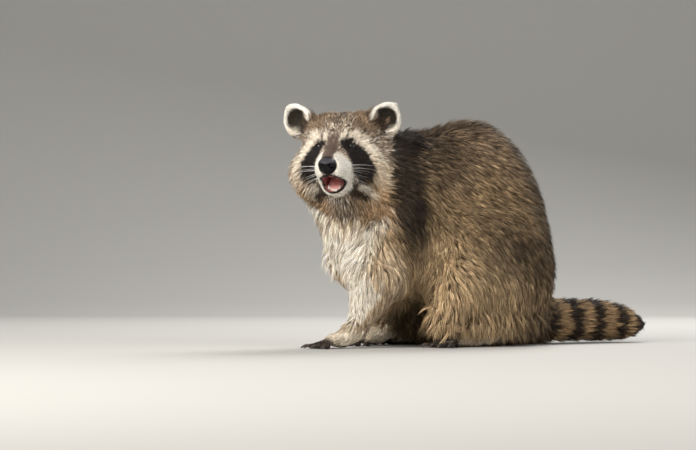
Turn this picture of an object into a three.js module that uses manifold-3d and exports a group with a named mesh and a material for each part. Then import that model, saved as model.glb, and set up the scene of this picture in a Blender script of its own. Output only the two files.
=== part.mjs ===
// A life-size raccoon, still, crouched on its haunches with the back arched, the head turned to its left and
// the mouth a little open. Millimetres, +Z up, +X the way the trunk faces, +Y the animal's left.
// The flesh and coat are one smooth form, a blend of rounded masses, parted into named pieces by thin cuts.
import * as THREE from "three";
import { mergeVertices } from "three/addons/utils/BufferGeometryUtils.js";
import { edgeTable, triTable } from "three/addons/objects/MarchingCubes.js";
import Module from "manifold-3d";

const wasm = await Module();
wasm.setup();

// ---- Driving dimensions ----
const GAP = 0.4; // thin cut between neighbouring pieces
const BACK_HEIGHT = 321; // floor to the top of the arched back
const SHOULDER_X = 55; // middle of the ribcage, forward of the frame's middle
const RUMP_X = -88;
const HALF_WIDTH = 92; // rump, out to the tips of the coat
const HEAD_AT = new THREE.Vector3(160, 15, 273); // between the ears, at the height of the eyes
const HEAD_TURN = 45; // degrees to the animal's left
const HEAD_NOD = 7; // degrees, nose down
const EYE_RADIUS = 6.6;
const EYE_AT = { x: 46.5, y: 21.5, z: 0 };
const NOSE_SIZE = { length: 16, width: 24.5, height: 22 };
const EAR_SIZE = { depth: 11, width: 23, height: 25.5 };
const EAR_SPREAD = { 1: 58, "-1": 64 }; // the right ear is held further out than the left
const TAIL_RADIUS = 33;
const FOREPAW = { toe: 33, toeRadius: 4.4, claw: 11, clawRadius: 2.1 };
const HIND_PAW = { toe: 25, toeRadius: 5.0, claw: 11, clawRadius: 2.3 };

const FLOOR_SINK = 4; // how far soft undersides would pass the floor, which flattens them
const degrees = THREE.MathUtils.degToRad;
const v = (x, y, z) => new THREE.Vector3(x, y, z);

// ---- Frames: the trunk's own, the head's and one for each paw ----
function frameAt(position, turn = 0, nod = 0) {
  const frame = new THREE.Group();
  frame.position.copy(position);
  frame.rotation.set(0, degrees(nod), degrees(turn), "ZYX");
  frame.updateMatrixWorld(true);
  frame.toLocal = frame.matrixWorld.clone().invert();
  return frame;
}

const trunkFrame = frameAt(v(0, 0, 0));
const headFrame = frameAt(HEAD_AT, HEAD_TURN, HEAD_NOD);
// side is 1 for the animal's left and -1 for its right.
const forepawFrames = {
  1: frameAt(v(188, 46, 0), -5),
  "-1": frameAt(v(90, -35, 0), 4),
};
const hindPawFrames = {
  1: frameAt(v(34, 84, 0), 12),
  "-1": frameAt(v(30, -84, 0), -12),
};

// ---- The form: signed distances to rounded masses, blended into one skin ----
function mound(centre, radii) {
  return (p) => {
    const x = (p.x - centre[0]) / radii[0];
    const y = (p.y - centre[1]) / radii[1];
    const z = (p.z - centre[2]) / radii[2];
    const k0 = Math.hypot(x, y, z);
    const k1 = Math.hypot(x / radii[0], y / radii[1], z / radii[2]);
    return k1 < 1e-9 ? -Math.min(...radii) : (k0 * (k0 - 1)) / k1;
  };
}

// A tapering limb from one round end to another.
function limb(a, b, radiusA, radiusB) {
  const start = v(...a);
  const along = v(...b).sub(start);
  const length2 = along.lengthSq();
  const q = v(0, 0, 0);
  return (p) => {
    q.copy(p).sub(start);
    const t = THREE.MathUtils.clamp(q.dot(along) / length2, 0, 1);
    return q.addScaledVector(along, -t).length() - THREE.MathUtils.lerp(radiusA, radiusB, t);
  };
}

const masses = [];
function add(frame, blend, ...shapes) {
  for (const distance of shapes) masses.push({ frame, blend, distance });
}

const local = v(0, 0, 0);
// Distance from a point of the trunk's frame to the whole animal's outline, negative inside.
function form(p) {
  let total = 1e3;
  for (const m of masses) {
    local.copy(p).applyMatrix4(m.frame.toLocal);
    const d = m.distance(local);
    const h = Math.max(m.blend - Math.abs(total - d), 0) / m.blend;
    total = Math.min(total, d) - (h * h * m.blend) / 4;
  }
  return total;
}

function trunkForm() {
  const backCentre = BACK_HEIGHT - 134;
  add(
    trunkFrame,
    34,
    mound([RUMP_X, 0, 120 - FLOOR_SINK], [87, HALF_WIDTH, 120]),
    mound([-43, 0, backCentre], [113, 84, 134]),
    mound([SHOULDER_X, 0, 176], [84, 74, 125]),
    mound([100, 0, 166], [56, 58, 82]),
    limb([146, -6, 206], [132, -8, 124], 48, 42),
  );
}

function neckForm() {
  add(trunkFrame, 30, limb([88, 0, 222], [146, 8, 262], 66, 54), limb([108, 0, 204], [158, 2, 228], 56, 44));
}

function armPoints(side) {
  return side > 0
    ? { shoulder: [92, 44, 184], elbow: [130, 53, 96], wrist: [160, 47, 27], coat: 39 }
    : { shoulder: [84, -40, 184], elbow: [76, -46, 100], wrist: [64, -37, 26], coat: 28 };
}

function foreLegForm(side) {
  const { shoulder, elbow, wrist, coat } = armPoints(side);
  add(trunkFrame, 20, limb(shoulder, elbow, 46, coat + 2));
  add(trunkFrame, 14, limb(elbow, wrist, coat, 18));
  add(forepawFrames[side], 8, mound([-3, 0, 11], [26, 18, 12]));
}

const THIGH = { x: -48, y: 68, z: 98, radii: [98, 42, 88] };
function hindLegForm(side) {
  const { x, y, z, radii } = THIGH;
  add(trunkFrame, 18, mound([x, side * y, z], radii));
  add(trunkFrame, 22, limb([12, side * 78, 84], [46, side * 80, 54], 45, 31));
  add(hindPawFrames[side], 10, limb([-78, 0, 20], [-6, 0, 12], 19, 15), mound([-2, 0, 11], [22, 20, 12]));
}

// The tail lies back along the floor in a slow bend.
const tailCurve = new THREE.CatmullRomCurve3([
  v(-118, 0, 62),
  v(-165, -4, TAIL_RADIUS),
  v(-225, -14, TAIL_RADIUS - 1),
  v(-290, -18, TAIL_RADIUS - 2),
  v(-344, -10, TAIL_RADIUS - 7),
]);
const tailRadius = (t) => TAIL_RADIUS * (0.98 + 0.1 * Math.sin(Math.PI * t)) * (1 - 0.34 * t ** 6);
function tailForm() {
  const steps = 8;
  for (let i = 0; i < steps; i++) {
    const a = tailCurve.getPoint(i / steps).toArray();
    const b = tailCurve.getPoint((i + 1) / steps).toArray();
    add(trunkFrame, 10, limb(a, b, tailRadius(i / steps), tailRadius((i + 1) / steps)));
  }
}

function headForm() {
  add(headFrame, 18, mound([-2, 0, 2], [50, 52, 36]), limb([-22, 0, -12], [20, 0, -18], 46, 42));
  for (const side of [1, -1]) {
    add(headFrame, 14, mound([-10, side * 30, 10], [34, 28, 28]));
    add(headFrame, 16, mound([6, side * 39.5, -30], [36, 33.5, 33]));
    add(headFrame, 12, limb([28, side * 28, 15], [46, side * 13, 9], 15, 9.5));
    add(headFrame, 12, limb([24, side * 34, -22], [46, side * 20, -22], 20, 15));
  }
  add(headFrame, 12, limb([34, 0, -20], [78, 0, -25], 27, 17.5), limb([38, 0, -2], [88, 0, -16], 15.5, 10.5));
  for (const side of [1, -1]) add(headFrame, 8, mound([76, side * 10, -29], [21, 13, 12]));
  add(headFrame, 10, limb([26, 0, -44], [62, 0, -49], 25, 17.5));
}

trunkForm();
neckForm();
headForm();
tailForm();
for (const side of [1, -1]) {
  foreLegForm(side);
  hindLegForm(side);
}

// ---- Meshes and solids ----
const CORNERS = [
  [0, 0, 0], [1, 0, 0], [1, 1, 0], [0, 1, 0], [0, 0, 1], [1, 0, 1], [1, 1, 1], [0, 1, 1],
];
const EDGES = [
  [0, 1], [1, 2], [3, 2], [0, 3], [4, 5], [5, 6], [7, 6], [4, 7], [0, 4], [1, 5], [2, 6], [3, 7],
];
const LEAST_SHARE = 0.04; // keeps every vertex clear of the grid's nodes, so that no triangle is a sliver

// The form's surface inside a box of a frame, grown by level, on a grid of about one cell size.
function polygonise(frame, low, high, cell, level = 0) {
  const count = low.map((x, i) => Math.ceil((high[i] - x) / cell));
  const step = low.map((x, i) => (high[i] - x) / count[i]);
  const at = (i, j, k) => v(low[0] + i * step[0], low[1] + j * step[1], low[2] + k * step[2]);
  const node = (i, j, k) => (k * (count[1] + 1) + j) * (count[0] + 1) + i;
  const value = new Float64Array((count[0] + 1) * (count[1] + 1) * (count[2] + 1));
  for (let k = 0; k <= count[2]; k++)
    for (let j = 0; j <= count[1]; j++)
      for (let i = 0; i <= count[0]; i++) {
        const rim = i * j * k === 0 || i === count[0] || j === count[1] || k === count[2];
        const d = form(at(i, j, k).applyMatrix4(frame.matrixWorld)) - level;
        value[node(i, j, k)] = rim ? Math.max(d, cell / 4) : d;
      }
  const points = [];
  const known = new Map();
  const faces = [];
  for (let k = 0; k < count[2]; k++)
    for (let j = 0; j < count[1]; j++)
      for (let i = 0; i < count[0]; i++) {
        const corner = CORNERS.map(([x, y, z]) => [i + x, j + y, k + z]);
        const d = corner.map((c) => value[node(...c)]);
        const index = d.reduce((bits, x, n) => bits | (x < 0 ? 1 << n : 0), 0);
        if (!edgeTable[index]) continue;
        const vertex = EDGES.map(([a, b], n) => {
          if (!(edgeTable[index] & (1 << n))) return -1;
          const key = node(...corner[a]) + "_" + node(...corner[b]);
          if (!known.has(key)) {
            const share = THREE.MathUtils.clamp(d[a] / (d[a] - d[b]), LEAST_SHARE, 1 - LEAST_SHARE);
            known.set(key, points.length / 3);
            points.push(...at(...corner[a]).lerp(at(...corner[b]), share).toArray());
          }
          return known.get(key);
        });
        for (let n = index * 16; triTable[n] !== -1; n += 3)
          faces.push(vertex[triTable[n]], vertex[triTable[n + 1]], vertex[triTable[n + 2]]);
      }
  const geometry = new THREE.BufferGeometry();
  geometry.setAttribute("position", new THREE.Float32BufferAttribute(points, 3));
  geometry.setIndex(faces);
  return solid(geometry);
}

// A closed geometry as a solid with its faces outwards.
function solid(geometry) {
  const bare = geometry.clone();
  for (const name of Object.keys(bare.attributes)) if (name !== "position") bare.deleteAttribute(name);
  const merged = mergeVertices(bare, 1e-4);
  const index = merged.index.array;
  const position = merged.attributes.position;
  const triVerts = [];
  let volume = 0;
  const [a, b, c] = [v(0, 0, 0), v(0, 0, 0), v(0, 0, 0)];
  for (let i = 0; i < index.length; i += 3) {
    const [ia, ib, ic] = [index[i], index[i + 1], index[i + 2]];
    if (ia === ib || ib === ic || ia === ic) continue;
    triVerts.push(ia, ib, ic);
    a.fromBufferAttribute(position, ia);
    b.fromBufferAttribute(position, ib);
    c.fromBufferAttribute(position, ic);
    volume += a.dot(b.cross(c));
  }
  if (volume < 0) triVerts.reverse();
  return new wasm.Manifold(
    new wasm.Mesh({ numProp: 3, vertProperties: position.array, triVerts: new Uint32Array(triVerts) }),
  );
}

function geometryOf(made) {
  const mesh = made.getMesh();
  const geometry = new THREE.BufferGeometry();
  geometry.setAttribute("position", new THREE.BufferAttribute(mesh.vertProperties, 3));
  geometry.setIndex(new THREE.BufferAttribute(mesh.triVerts, 1));
  return geometry;
}

// Everything on the side of a plane that its normal points to, grown by a margin.
const REACH = 900;
function beyond(point, normal, margin = 0) {
  const n = v(...normal).normalize();
  const box = new THREE.BoxGeometry(REACH, REACH, REACH);
  box.translate(0, 0, REACH / 2 - margin);
  box.applyQuaternion(new THREE.Quaternion().setFromUnitVectors(v(0, 0, 1), n));
  box.translate(...point);
  return solid(box);
}
const meet = (pieces) => pieces.reduce((a, b) => a.intersect(b));
const join = (pieces) => pieces.reduce((a, b) => a.add(b));
const cutBy = (piece, cutters) => cutters.reduce((a, b) => a.subtract(b), piece);

function largest(piece) {
  return piece.decompose().reduce((a, b) => (b.volume() > a.volume() ? b : a));
}

// A solid given in one frame, as seen from another.
function moved(piece, from, to) {
  const geometry = geometryOf(piece);
  geometry.applyMatrix4(from.matrixWorld).applyMatrix4(to.toLocal);
  return solid(geometry);
}

function ball(centre, radii, around = 14, down = 9) {
  const sphere = new THREE.SphereGeometry(1, around, down);
  sphere.scale(...radii);
  sphere.translate(...centre);
  return sphere;
}

// A closed rod along a curve. radius(t) is its half thickness there, and flat squeezes it.
function rod(curve, radius, rings, sides, flat = 1) {
  const profile = [];
  for (let i = 0; i <= rings; i++) {
    const t = (1 - Math.cos((Math.PI * i) / rings)) / 2;
    profile.push(new THREE.Vector2(i % rings ? radius(t) : 0, t));
  }
  const geometry = new THREE.LatheGeometry(profile, sides);
  const position = geometry.attributes.position;
  for (let i = 0; i < position.count; i++) {
    const t = THREE.MathUtils.clamp(position.getY(i), 0, 1);
    const along = curve.getTangent(t);
    const across = v(0, 0, 1).cross(along).normalize();
    const above = along.clone().cross(across);
    const p = curve.getPoint(t).addScaledVector(across, position.getX(i));
    p.addScaledVector(above, position.getZ(i) * flat);
    position.setXYZ(i, p.x, p.y, p.z);
  }
  return solid(geometry);
}

// ---- The cuts that part the body ----
const floorSlab = beyond([0, 0, 0], [0, 0, -1]);
const inHead = (piece) => moved(piece, headFrame, trunkFrame);
const headSide = (margin = 0) => inHead(beyond([16, 0, -72], [0.83, 0, 0.56], margin));
const neckSide = (margin = 0) => beyond([136, 0, 200], [0.8, 0.1, 0.6], margin);
const TAIL_CUTS = [-163, -226, -290];
const behindTailCut = (i, margin = 0) => beyond([TAIL_CUTS[i], 0, 0], [-1, 0, 0], margin);

function armCell(side, margin = 0) {
  return meet([
    beyond([100, side * 26, 112], [0, side * 0.82, -0.57], margin),
    side > 0 ? beyond([84, 0, 100], [1, 0, 0.25], margin) : beyond([58, 0, 100], [1, 0, -0.35], margin),
    beyond([0, side * 5, 0], [0, side, 0], margin),
  ]);
}
const elbowSide = (side, margin = 0) => beyond(armPoints(side).elbow, [0.25, 0, -1], margin);
const wristSide = (side, margin = 0) => beyond(armPoints(side).wrist, [0.35, 0, -1], margin);
const forepawSide = (side, margin = 0) => meet([armCell(side, margin), wristSide(side, margin)]);

function hindFootCell(side, margin = 0) {
  return meet([
    beyond([0, 0, 33], [0, 0, -1], margin),
    beyond([0, side * 56, 0], [0, side, 0], margin),
    beyond([-70, 0, 0], [1, 0, 0], margin),
  ]);
}

function thighCell(side, margin = 0) {
  const { x, y, z, radii } = THIGH;
  const haunch = solid(ball([x, side * (y + 8), z], radii.map((r) => r + 8 + margin), 12, 8));
  const knee = rod(
    new THREE.LineCurve3(v(-30, side * 80, 92), v(76, side * 84, 44)),
    (t) => 58 * Math.sin(Math.PI * (0.12 + 0.76 * t)) ** 0.4 + margin,
    6,
    10,
  );
  return haunch.add(knee).intersect(beyond([96, 0, 0], [-1, 0, 0], margin));
}

// ---- Sub-parts ----
function trunkSolid() {
  const whole = polygonise(trunkFrame, [-210, -130, -20], [210, 130, 345], 36);
  const cuts = [floorSlab, headSide(GAP), neckSide(GAP), behindTailCut(0, GAP)];
  for (const side of [1, -1]) cuts.push(armCell(side, GAP), thighCell(side, GAP), hindFootCell(side, GAP));
  return largest(cutBy(whole, cuts));
}

function neckSolid() {
  const whole = polygonise(trunkFrame, [40, -90, 90], [260, 110, 345], 23);
  return largest(cutBy(whole.intersect(neckSide()), [headSide(GAP), armCell(1, GAP), armCell(-1, GAP)]));
}

const HEAD_BOX = [[-75, -84, -96], [114, 84, 72]];
const eyeBall = (side, radius) =>
  solid(ball([EYE_AT.x, side * EYE_AT.y, EYE_AT.z], Array(3).fill(radius), 10, 7));
// The shallow bowl the eye looks out of.
const eyeBowl = (side) => solid(ball([EYE_AT.x + 10, side * (EYE_AT.y + 2), EYE_AT.z], [9.5, 9, 6.5], 8, 6));

// The nose pad is broad above and narrows to the lip.
function nosePad(grow = 0) {
  const { length, width, height } = NOSE_SIZE;
  const radii = [length, width, height].map((size) => size / 2 + grow);
  const pad = ball([0, 0, 0], radii, 12, 8);
  const position = pad.attributes.position;
  for (let i = 0; i < position.count; i++) {
    const up = position.getZ(i) / radii[2];
    position.setY(i, position.getY(i) * (1 + 0.16 * up));
    position.setX(i, position.getX(i) - 2.5 * up);
  }
  pad.translate(93.5, 0, -21);
  return solid(pad);
}

// The open mouth: a flattened pocket that narrows to its back.
function mouthPocket() {
  const path = new THREE.QuadraticBezierCurve3(v(34, 0, -42), v(62, 0, -44), v(110, 0, -50));
  return rod(path, (t) => 4 + 11 * (1 - (1 - t) ** 3), 8, 12, 0.77);
}
const belowMouth = (margin = 0) =>
  meet([
    beyond([34, 0, -46], [0, 0, -1], margin),
    beyond([26, 0, 0], [1, 0, 0], margin),
    beyond([0, 25, -46], [0, -0.9, 0.3], margin),
    beyond([0, -25, -46], [0, 0.9, 0.3], margin),
  ]);

const wholeHead = (level = 0) => polygonise(headFrame, ...HEAD_BOX, 12, level);
const headSideLocal = moved(headSide(), trunkFrame, headFrame);

function headWithSockets() {
  const openings = [mouthPocket(), nosePad(GAP)];
  for (const side of [1, -1]) openings.push(eyeBall(side, EYE_RADIUS + GAP), eyeBowl(side));
  return cutBy(wholeHead().intersect(headSideLocal), openings);
}

// The lower teeth: a canine each side, leaning out and back, and a row of incisors between them.
const lowerTooth = (root, tip, radius) =>
  rod(new THREE.LineCurve3(root, tip), (t) => radius * (1.2 - 0.6 * t), 3, 4);
function lowerTeeth() {
  const teeth = [];
  for (const side of [1, -1]) {
    teeth.push(lowerTooth(v(70.5, side * 7.6, -63), v(67.4, side * 10.6, -49.5), 1.9));
    for (const place of [1, 3, 5]) {
      const [x, y] = [72.6 - 0.1 * place ** 2, side * place * 1.05];
      teeth.push(lowerTooth(v(x, y, -62.5), v(x + 1, y, -54.6), 1.1));
    }
  }
  return join(teeth);
}

function tongueSolid(grow = 0) {
  const path = new THREE.QuadraticBezierCurve3(v(38 - grow, 0, -48), v(58, 0, -49), v(71 + grow, 0, -55));
  return rod(path, (t) => 10 * Math.sin(Math.PI * (0.12 + 0.74 * t)) ** 0.5 + grow, 6, 10, 0.5);
}

function headSolids() {
  const whole = headWithSockets();
  const jaw = whole.intersect(belowMouth()).add(lowerTeeth().intersect(wholeHead()));
  return {
    head: largest(cutBy(whole, [belowMouth(GAP), tongueSolid(GAP)])),
    jaw: largest(cutBy(jaw, [tongueSolid(GAP)])),
    tongue: tongueSolid(),
  };
}

// A rounded, cupped ear that leans out and opens forwards. Its root meets the head.
function earSolid(side) {
  const { depth, width, height } = EAR_SIZE;
  const shell = ball([0, 0, 0], [depth, width, height], 10, 8);
  const cup = ball([depth * 0.75, 0, 1], [depth, width * 0.76, height * 0.78], 8, 6);
  const stance = new THREE.Euler(degrees(-side * 30), degrees(4), degrees(side * 14), "ZYX");
  const place = new THREE.Matrix4().makeRotationFromEuler(stance);
  place.setPosition(2, side * EAR_SPREAD[side], 33.5);
  for (const surface of [shell, cup]) {
    const position = surface.attributes.position;
    for (let i = 0; i < position.count; i++)
      position.setY(i, position.getY(i) * (1 - (0.24 * position.getZ(i)) / height));
    surface.applyMatrix4(place);
  }
  return largest(solid(shell).subtract(solid(cup)).subtract(wholeHead(GAP)));
}

function tailSolid(i) {
  const low = [i < 2 ? TAIL_CUTS[i + 1] - 20 : -400, -80, -20];
  const whole = polygonise(trunkFrame, low, [TAIL_CUTS[i] + 20, 50, 110], 21);
  const cuts = [floorSlab];
  if (i < 2) cuts.push(behindTailCut(i + 1, GAP));
  return largest(cutBy(whole.intersect(behindTailCut(i)), cuts));
}

function armSolids(side) {
  const reach = side > 0 ? [50, 216] : [16, 180];
  const [nearest, furthest] = side > 0 ? [-4, 112] : [-112, 4];
  const whole = polygonise(trunkFrame, [reach[0], nearest, -20], [reach[1], furthest, 236], 19.5);
  const cuts = [headSide(GAP), neckSide(GAP), hindFootCell(side, GAP), floorSlab];
  const arm = cutBy(whole.intersect(armCell(side)), cuts);
  const upper = largest(cutBy(arm, [elbowSide(side, GAP)]));
  const fore = largest(cutBy(arm.intersect(elbowSide(side)), [wristSide(side, GAP)]));
  return { upper, fore };
}

function thighSolid(side) {
  const whole = polygonise(trunkFrame, [-170, side > 0 ? -2 : -130, -20], [108, side > 0 ? 130 : 2, 216], 30);
  const cuts = [hindFootCell(side, GAP), armCell(side, GAP), floorSlab];
  return largest(cutBy(whole.intersect(thighCell(side)), cuts));
}

// ---- Paws: a palm with five toes, each toe tipped by a claw of its own ----
const TOES = [
  { spread: -27, out: -13, reach: 0.8 },
  { spread: -11, out: -7.5, reach: 0.97 },
  { spread: 1, out: 0, reach: 1 },
  { spread: 13, out: 7.5, reach: 0.94 },
  { spread: 34, out: 13, reach: 0.74 },
];

// The course of one toe, in the paw's frame. inward is 1 where the thumb is on the left.
function toeCurve(paw, toe, inward) {
  const turn = degrees(toe.spread * inward);
  const heading = v(Math.cos(turn), Math.sin(turn), 0);
  const root = v(6, toe.out * inward, paw.toeRadius * 1.9);
  const knuckle = root.clone().addScaledVector(heading, paw.toe * toe.reach * 0.55).setZ(paw.toeRadius * 2.2);
  const tip = root.clone().addScaledVector(heading, paw.toe * toe.reach).setZ(paw.toeRadius * 0.85);
  return { curve: new THREE.QuadraticBezierCurve3(root, knuckle, tip), heading, tip };
}

function toeSolid(paw, toe, inward) {
  const { curve } = toeCurve(paw, toe, inward);
  return rod(curve, (t) => paw.toeRadius * (1.16 - 0.3 * t), 3, 6, 0.92);
}

// A claw hooks forward and down from just beyond the toe's tip.
function clawSolid(paw, toe, inward) {
  const { heading, tip } = toeCurve(paw, toe, inward);
  const root = tip.clone().addScaledVector(heading, GAP).setZ(paw.toeRadius * 1.1);
  const bend = root.clone().addScaledVector(heading, paw.claw * 0.55).setZ(paw.toeRadius * 1.15);
  const point = root.clone().addScaledVector(heading, paw.claw).setZ(0.7);
  const curve = new THREE.QuadraticBezierCurve3(root, bend, point);
  return rod(curve, (t) => paw.clawRadius * (1 - 0.75 * t), 3, 5).subtract(beyond([0, 0, 0.3], [0, 0, -1]));
}

function pawSolid(paw, frame, inward, palm, cell) {
  const toes = TOES.map((toe) => toeSolid(paw, toe, inward));
  return largest(join([palm.intersect(moved(cell, trunkFrame, frame)), ...toes]).subtract(floorSlab));
}
function toesOf(paw, frame, inward) {
  return moved(join(TOES.map((toe) => toeSolid(paw, toe, inward))), frame, trunkFrame);
}

// ---- Materials ----
const finish = (color, roughness = 0.9) => new THREE.MeshStandardMaterial({ color, roughness, metalness: 0 });
const greyCoat = finish(0x6f6255);
const faceCoat = finish(0x9a8c7c);
const earCoat = finish(0xd9cbb4);
const ringedCoat = finish(0x6b5440);
const pawSkin = finish(0x2b2523, 0.6);
const clawHorn = finish(0x1d1917, 0.35);
const noseSkin = finish(0x141416, 0.3);
const eyeGlass = finish(0x0a0807, 0.08);
const tongueFlesh = finish(0xc9696c, 0.4);

// ---- The scene graph ----
const raccoon = new THREE.Group();
raccoon.add(headFrame, ...Object.values(forepawFrames), ...Object.values(hindPawFrames));

// Puts a solid given in its parent's frame into a mesh whose own origin is the middle of its box.
function place(name, made, material, parent = raccoon) {
  const geometry = geometryOf(made);
  geometry.computeBoundingBox();
  const middle = geometry.boundingBox.getCenter(v(0, 0, 0));
  geometry.translate(-middle.x, -middle.y, -middle.z);
  const mesh = new THREE.Mesh(geometry, material);
  mesh.name = name;
  mesh.position.copy(middle);
  parent.add(mesh);
}

const { head, jaw, tongue } = headSolids();
place("head", head, faceCoat, headFrame);
place("jaw", jaw, faceCoat, headFrame);
place("tongue", tongue, tongueFlesh, headFrame);
place("nose", nosePad(), noseSkin, headFrame);
place("neck", neckSolid(), greyCoat);
place("trunk", trunkSolid(), greyCoat);
["tail_root", "tail_middle", "tail_tip"].forEach((name, i) => place(name, tailSolid(i), ringedCoat));

for (const [side, hand] of [[1, "left"], [-1, "right"]]) {
  place("eye_" + hand, eyeBall(side, EYE_RADIUS), eyeGlass, headFrame);
  place("ear_" + hand, earSolid(side), earCoat, headFrame);
  const inward = -side;
  const forepaw = forepawFrames[side];
  const hindPaw = hindPawFrames[side];
  const { upper, fore } = armSolids(side);
  place("upper_arm_" + hand, upper, greyCoat);
  place("forearm_" + hand, cutBy(fore, [toesOf(FOREPAW, forepaw, inward)]), greyCoat);
  place("thigh_" + hand, thighSolid(side), greyCoat);
  const forePalm = polygonise(forepaw, [-50, -36, -16], [40, 36, 60], 17);
  const sole = polygonise(hindPaw, [-112, -40, -18], [40, 40, 54], 22);
  const forepawForm = pawSolid(FOREPAW, forepaw, inward, forePalm, forepawSide(side));
  const hindFootForm = pawSolid(HIND_PAW, hindPaw, inward, sole, hindFootCell(side));
  place("forepaw_" + hand, forepawForm, pawSkin, forepaw);
  place("hind_foot_" + hand, hindFootForm, pawSkin, hindPaw);
  TOES.forEach((toe, i) => {
    place(`fore_claw_${hand}_${i + 1}`, clawSolid(FOREPAW, toe, inward), clawHorn, forepaw);
    place(`hind_claw_${hand}_${i + 1}`, clawSolid(HIND_PAW, toe, inward), clawHorn, hindPaw);
  });
}

// The frame's origin is the middle of the footprint, on the floor.
const extent = new THREE.Box3().setFromObject(raccoon, true);
const middle = extent.getCenter(v(0, 0, 0));
raccoon.position.set(-middle.x, -middle.y, -extent.min.z);

export default raccoon;
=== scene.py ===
import bmesh
import bpy
import math
import numpy as np
from mathutils import Matrix, Vector
from mathutils.bvhtree import BVHTree


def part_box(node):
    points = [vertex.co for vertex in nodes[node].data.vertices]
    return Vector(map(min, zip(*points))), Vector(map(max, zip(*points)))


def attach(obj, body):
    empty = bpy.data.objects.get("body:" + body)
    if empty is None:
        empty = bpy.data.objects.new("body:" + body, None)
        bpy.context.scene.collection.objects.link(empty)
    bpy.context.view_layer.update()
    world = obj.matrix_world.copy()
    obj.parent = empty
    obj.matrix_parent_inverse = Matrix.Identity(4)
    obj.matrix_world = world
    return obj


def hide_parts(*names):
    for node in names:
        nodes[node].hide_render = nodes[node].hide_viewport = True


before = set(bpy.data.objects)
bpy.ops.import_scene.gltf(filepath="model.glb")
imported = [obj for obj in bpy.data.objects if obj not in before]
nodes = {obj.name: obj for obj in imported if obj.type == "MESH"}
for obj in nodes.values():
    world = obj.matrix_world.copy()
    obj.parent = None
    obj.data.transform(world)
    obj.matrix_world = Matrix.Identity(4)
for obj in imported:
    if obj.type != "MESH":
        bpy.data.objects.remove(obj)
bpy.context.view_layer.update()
MM = 0.001

# ---- The animal's own axes: forward from the trunk, left, up, and those of its turned head ----
HEAD_TURN, HEAD_NOD = math.radians(45), math.radians(7)
HEAD_AT = np.array([160.0, 15.0, 273.0])
EYE_FORWARD = 46.5
EYE_RADIUS = 6.6


def middle(node):
    low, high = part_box(node)
    return np.array((low + high) / 2) / MM


def turned(angle, nod):
    return np.array(Matrix.Rotation(angle, 3, "Z") @ Matrix.Rotation(nod, 3, "Y"))


HEAD_AXES = turned(HEAD_TURN, HEAD_NOD)
head_origin = (middle("eye_left") + middle("eye_right")) / 2 - HEAD_AXES @ (EYE_FORWARD, 0, 0)
body_origin = head_origin - HEAD_AT


# Points in the row frame's millimetres, as the head or the body sees them, and back.
def to_head(points):
    return (points - head_origin) @ HEAD_AXES


def from_head(points):
    return np.asarray(points) @ HEAD_AXES.T + head_origin


def to_body(points):
    return points - body_origin


def ramp(value, low, high):
    t = np.clip((value - low) / (high - low), 0, 1)
    return t * t * (3 - 2 * t)


def unit(vectors):
    return vectors / np.maximum(np.linalg.norm(vectors, axis=-1, keepdims=True), 1e-9)


# ---- Camera, light and floor ----
VIEW_TURN, VIEW_RISE, VIEW_AWAY = math.radians(150), math.radians(-1), 3500
view_right = np.array([math.cos(VIEW_TURN), math.sin(VIEW_TURN), 0])
view_back = np.array([
    math.sin(VIEW_TURN) * math.cos(VIEW_RISE),
    -math.cos(VIEW_TURN) * math.cos(VIEW_RISE),
    math.sin(VIEW_RISE),
])
aim = body_origin - 127 * view_right + (0, 0, 166)
camera = bpy.data.objects.new("camera", bpy.data.cameras.new("camera"))
bpy.context.scene.collection.objects.link(camera)
camera.data.sensor_width = 36
camera.data.lens = 18 / math.tan(math.radians(7.8))
camera.data.clip_start, camera.data.clip_end = 0.1, 40
camera.location = Vector((aim + view_back * VIEW_AWAY) * MM)
camera.rotation_euler = Vector(-view_back).to_track_quat("-Z", "Y").to_euler()
bpy.context.scene.camera = camera


def soft_light(name, place, size, power, colour=(1, 1, 1)):
    data = bpy.data.lights.new(name, "AREA")
    data.shape, data.size = "DISK", size
    data.energy, data.color = power, colour
    light = bpy.data.objects.new(name, data)
    light.location = place
    light.rotation_euler = (Vector((0.05, 0, 0.15)) - Vector(place)).to_track_quat("-Z", "Y").to_euler()
    bpy.context.scene.collection.objects.link(light)


def from_view(right, up, back):
    flat_back = np.array([math.sin(VIEW_TURN), -math.cos(VIEW_TURN), 0])
    return view_right * right + flat_back * back + np.array([0, 0, up])


soft_light("key_light", from_view(-1.4, 1.4, 1.7), 1.6, 66, (1, 0.96, 0.89))
soft_light("fill_light", from_view(1.9, 1.0, 1.6), 2.2, 22, (1, 0.97, 0.93))
soft_light("rim_light", from_view(0.6, 1.9, -1.7), 1.4, 62, (1, 0.98, 0.95))
world = bpy.data.worlds.new("studio")
world.use_nodes = True
world.node_tree.nodes["Background"].inputs["Color"].default_value = (0.88, 0.87, 0.85, 1)
world.node_tree.nodes["Background"].inputs["Strength"].default_value = 0.42
bpy.context.scene.world = world
bpy.context.scene.view_settings.view_transform = "Standard"


# ---- Materials ----
def new_material(name):
    made = bpy.data.materials.new(name)
    made.use_nodes = True
    tree = made.node_tree
    return made, tree, tree.nodes["Principled BSDF"]


def node(tree, kind, inputs=None, **settings):
    made = tree.nodes.new(kind)
    for key, value in settings.items():
        setattr(made, key, value)
    for key, value in (inputs or {}).items():
        if isinstance(value, bpy.types.NodeSocket):
            tree.links.new(value, made.inputs[key])
        else:
            made.inputs[key].default_value = value
    return made


def attribute(tree, name):
    return node(tree, "ShaderNodeAttribute", attribute_name=name).outputs["Fac"]


def mixed(tree, share, a, b):
    made = node(tree, "ShaderNodeMix", data_type="RGBA")
    for socket, value in ((made.inputs[0], share), (made.inputs[6], a), (made.inputs[7], b)):
        if isinstance(value, bpy.types.NodeSocket):
            tree.links.new(value, socket)
        else:
            socket.default_value = value if np.isscalar(value) else (*value, 1)
    return made.outputs[2]


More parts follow.
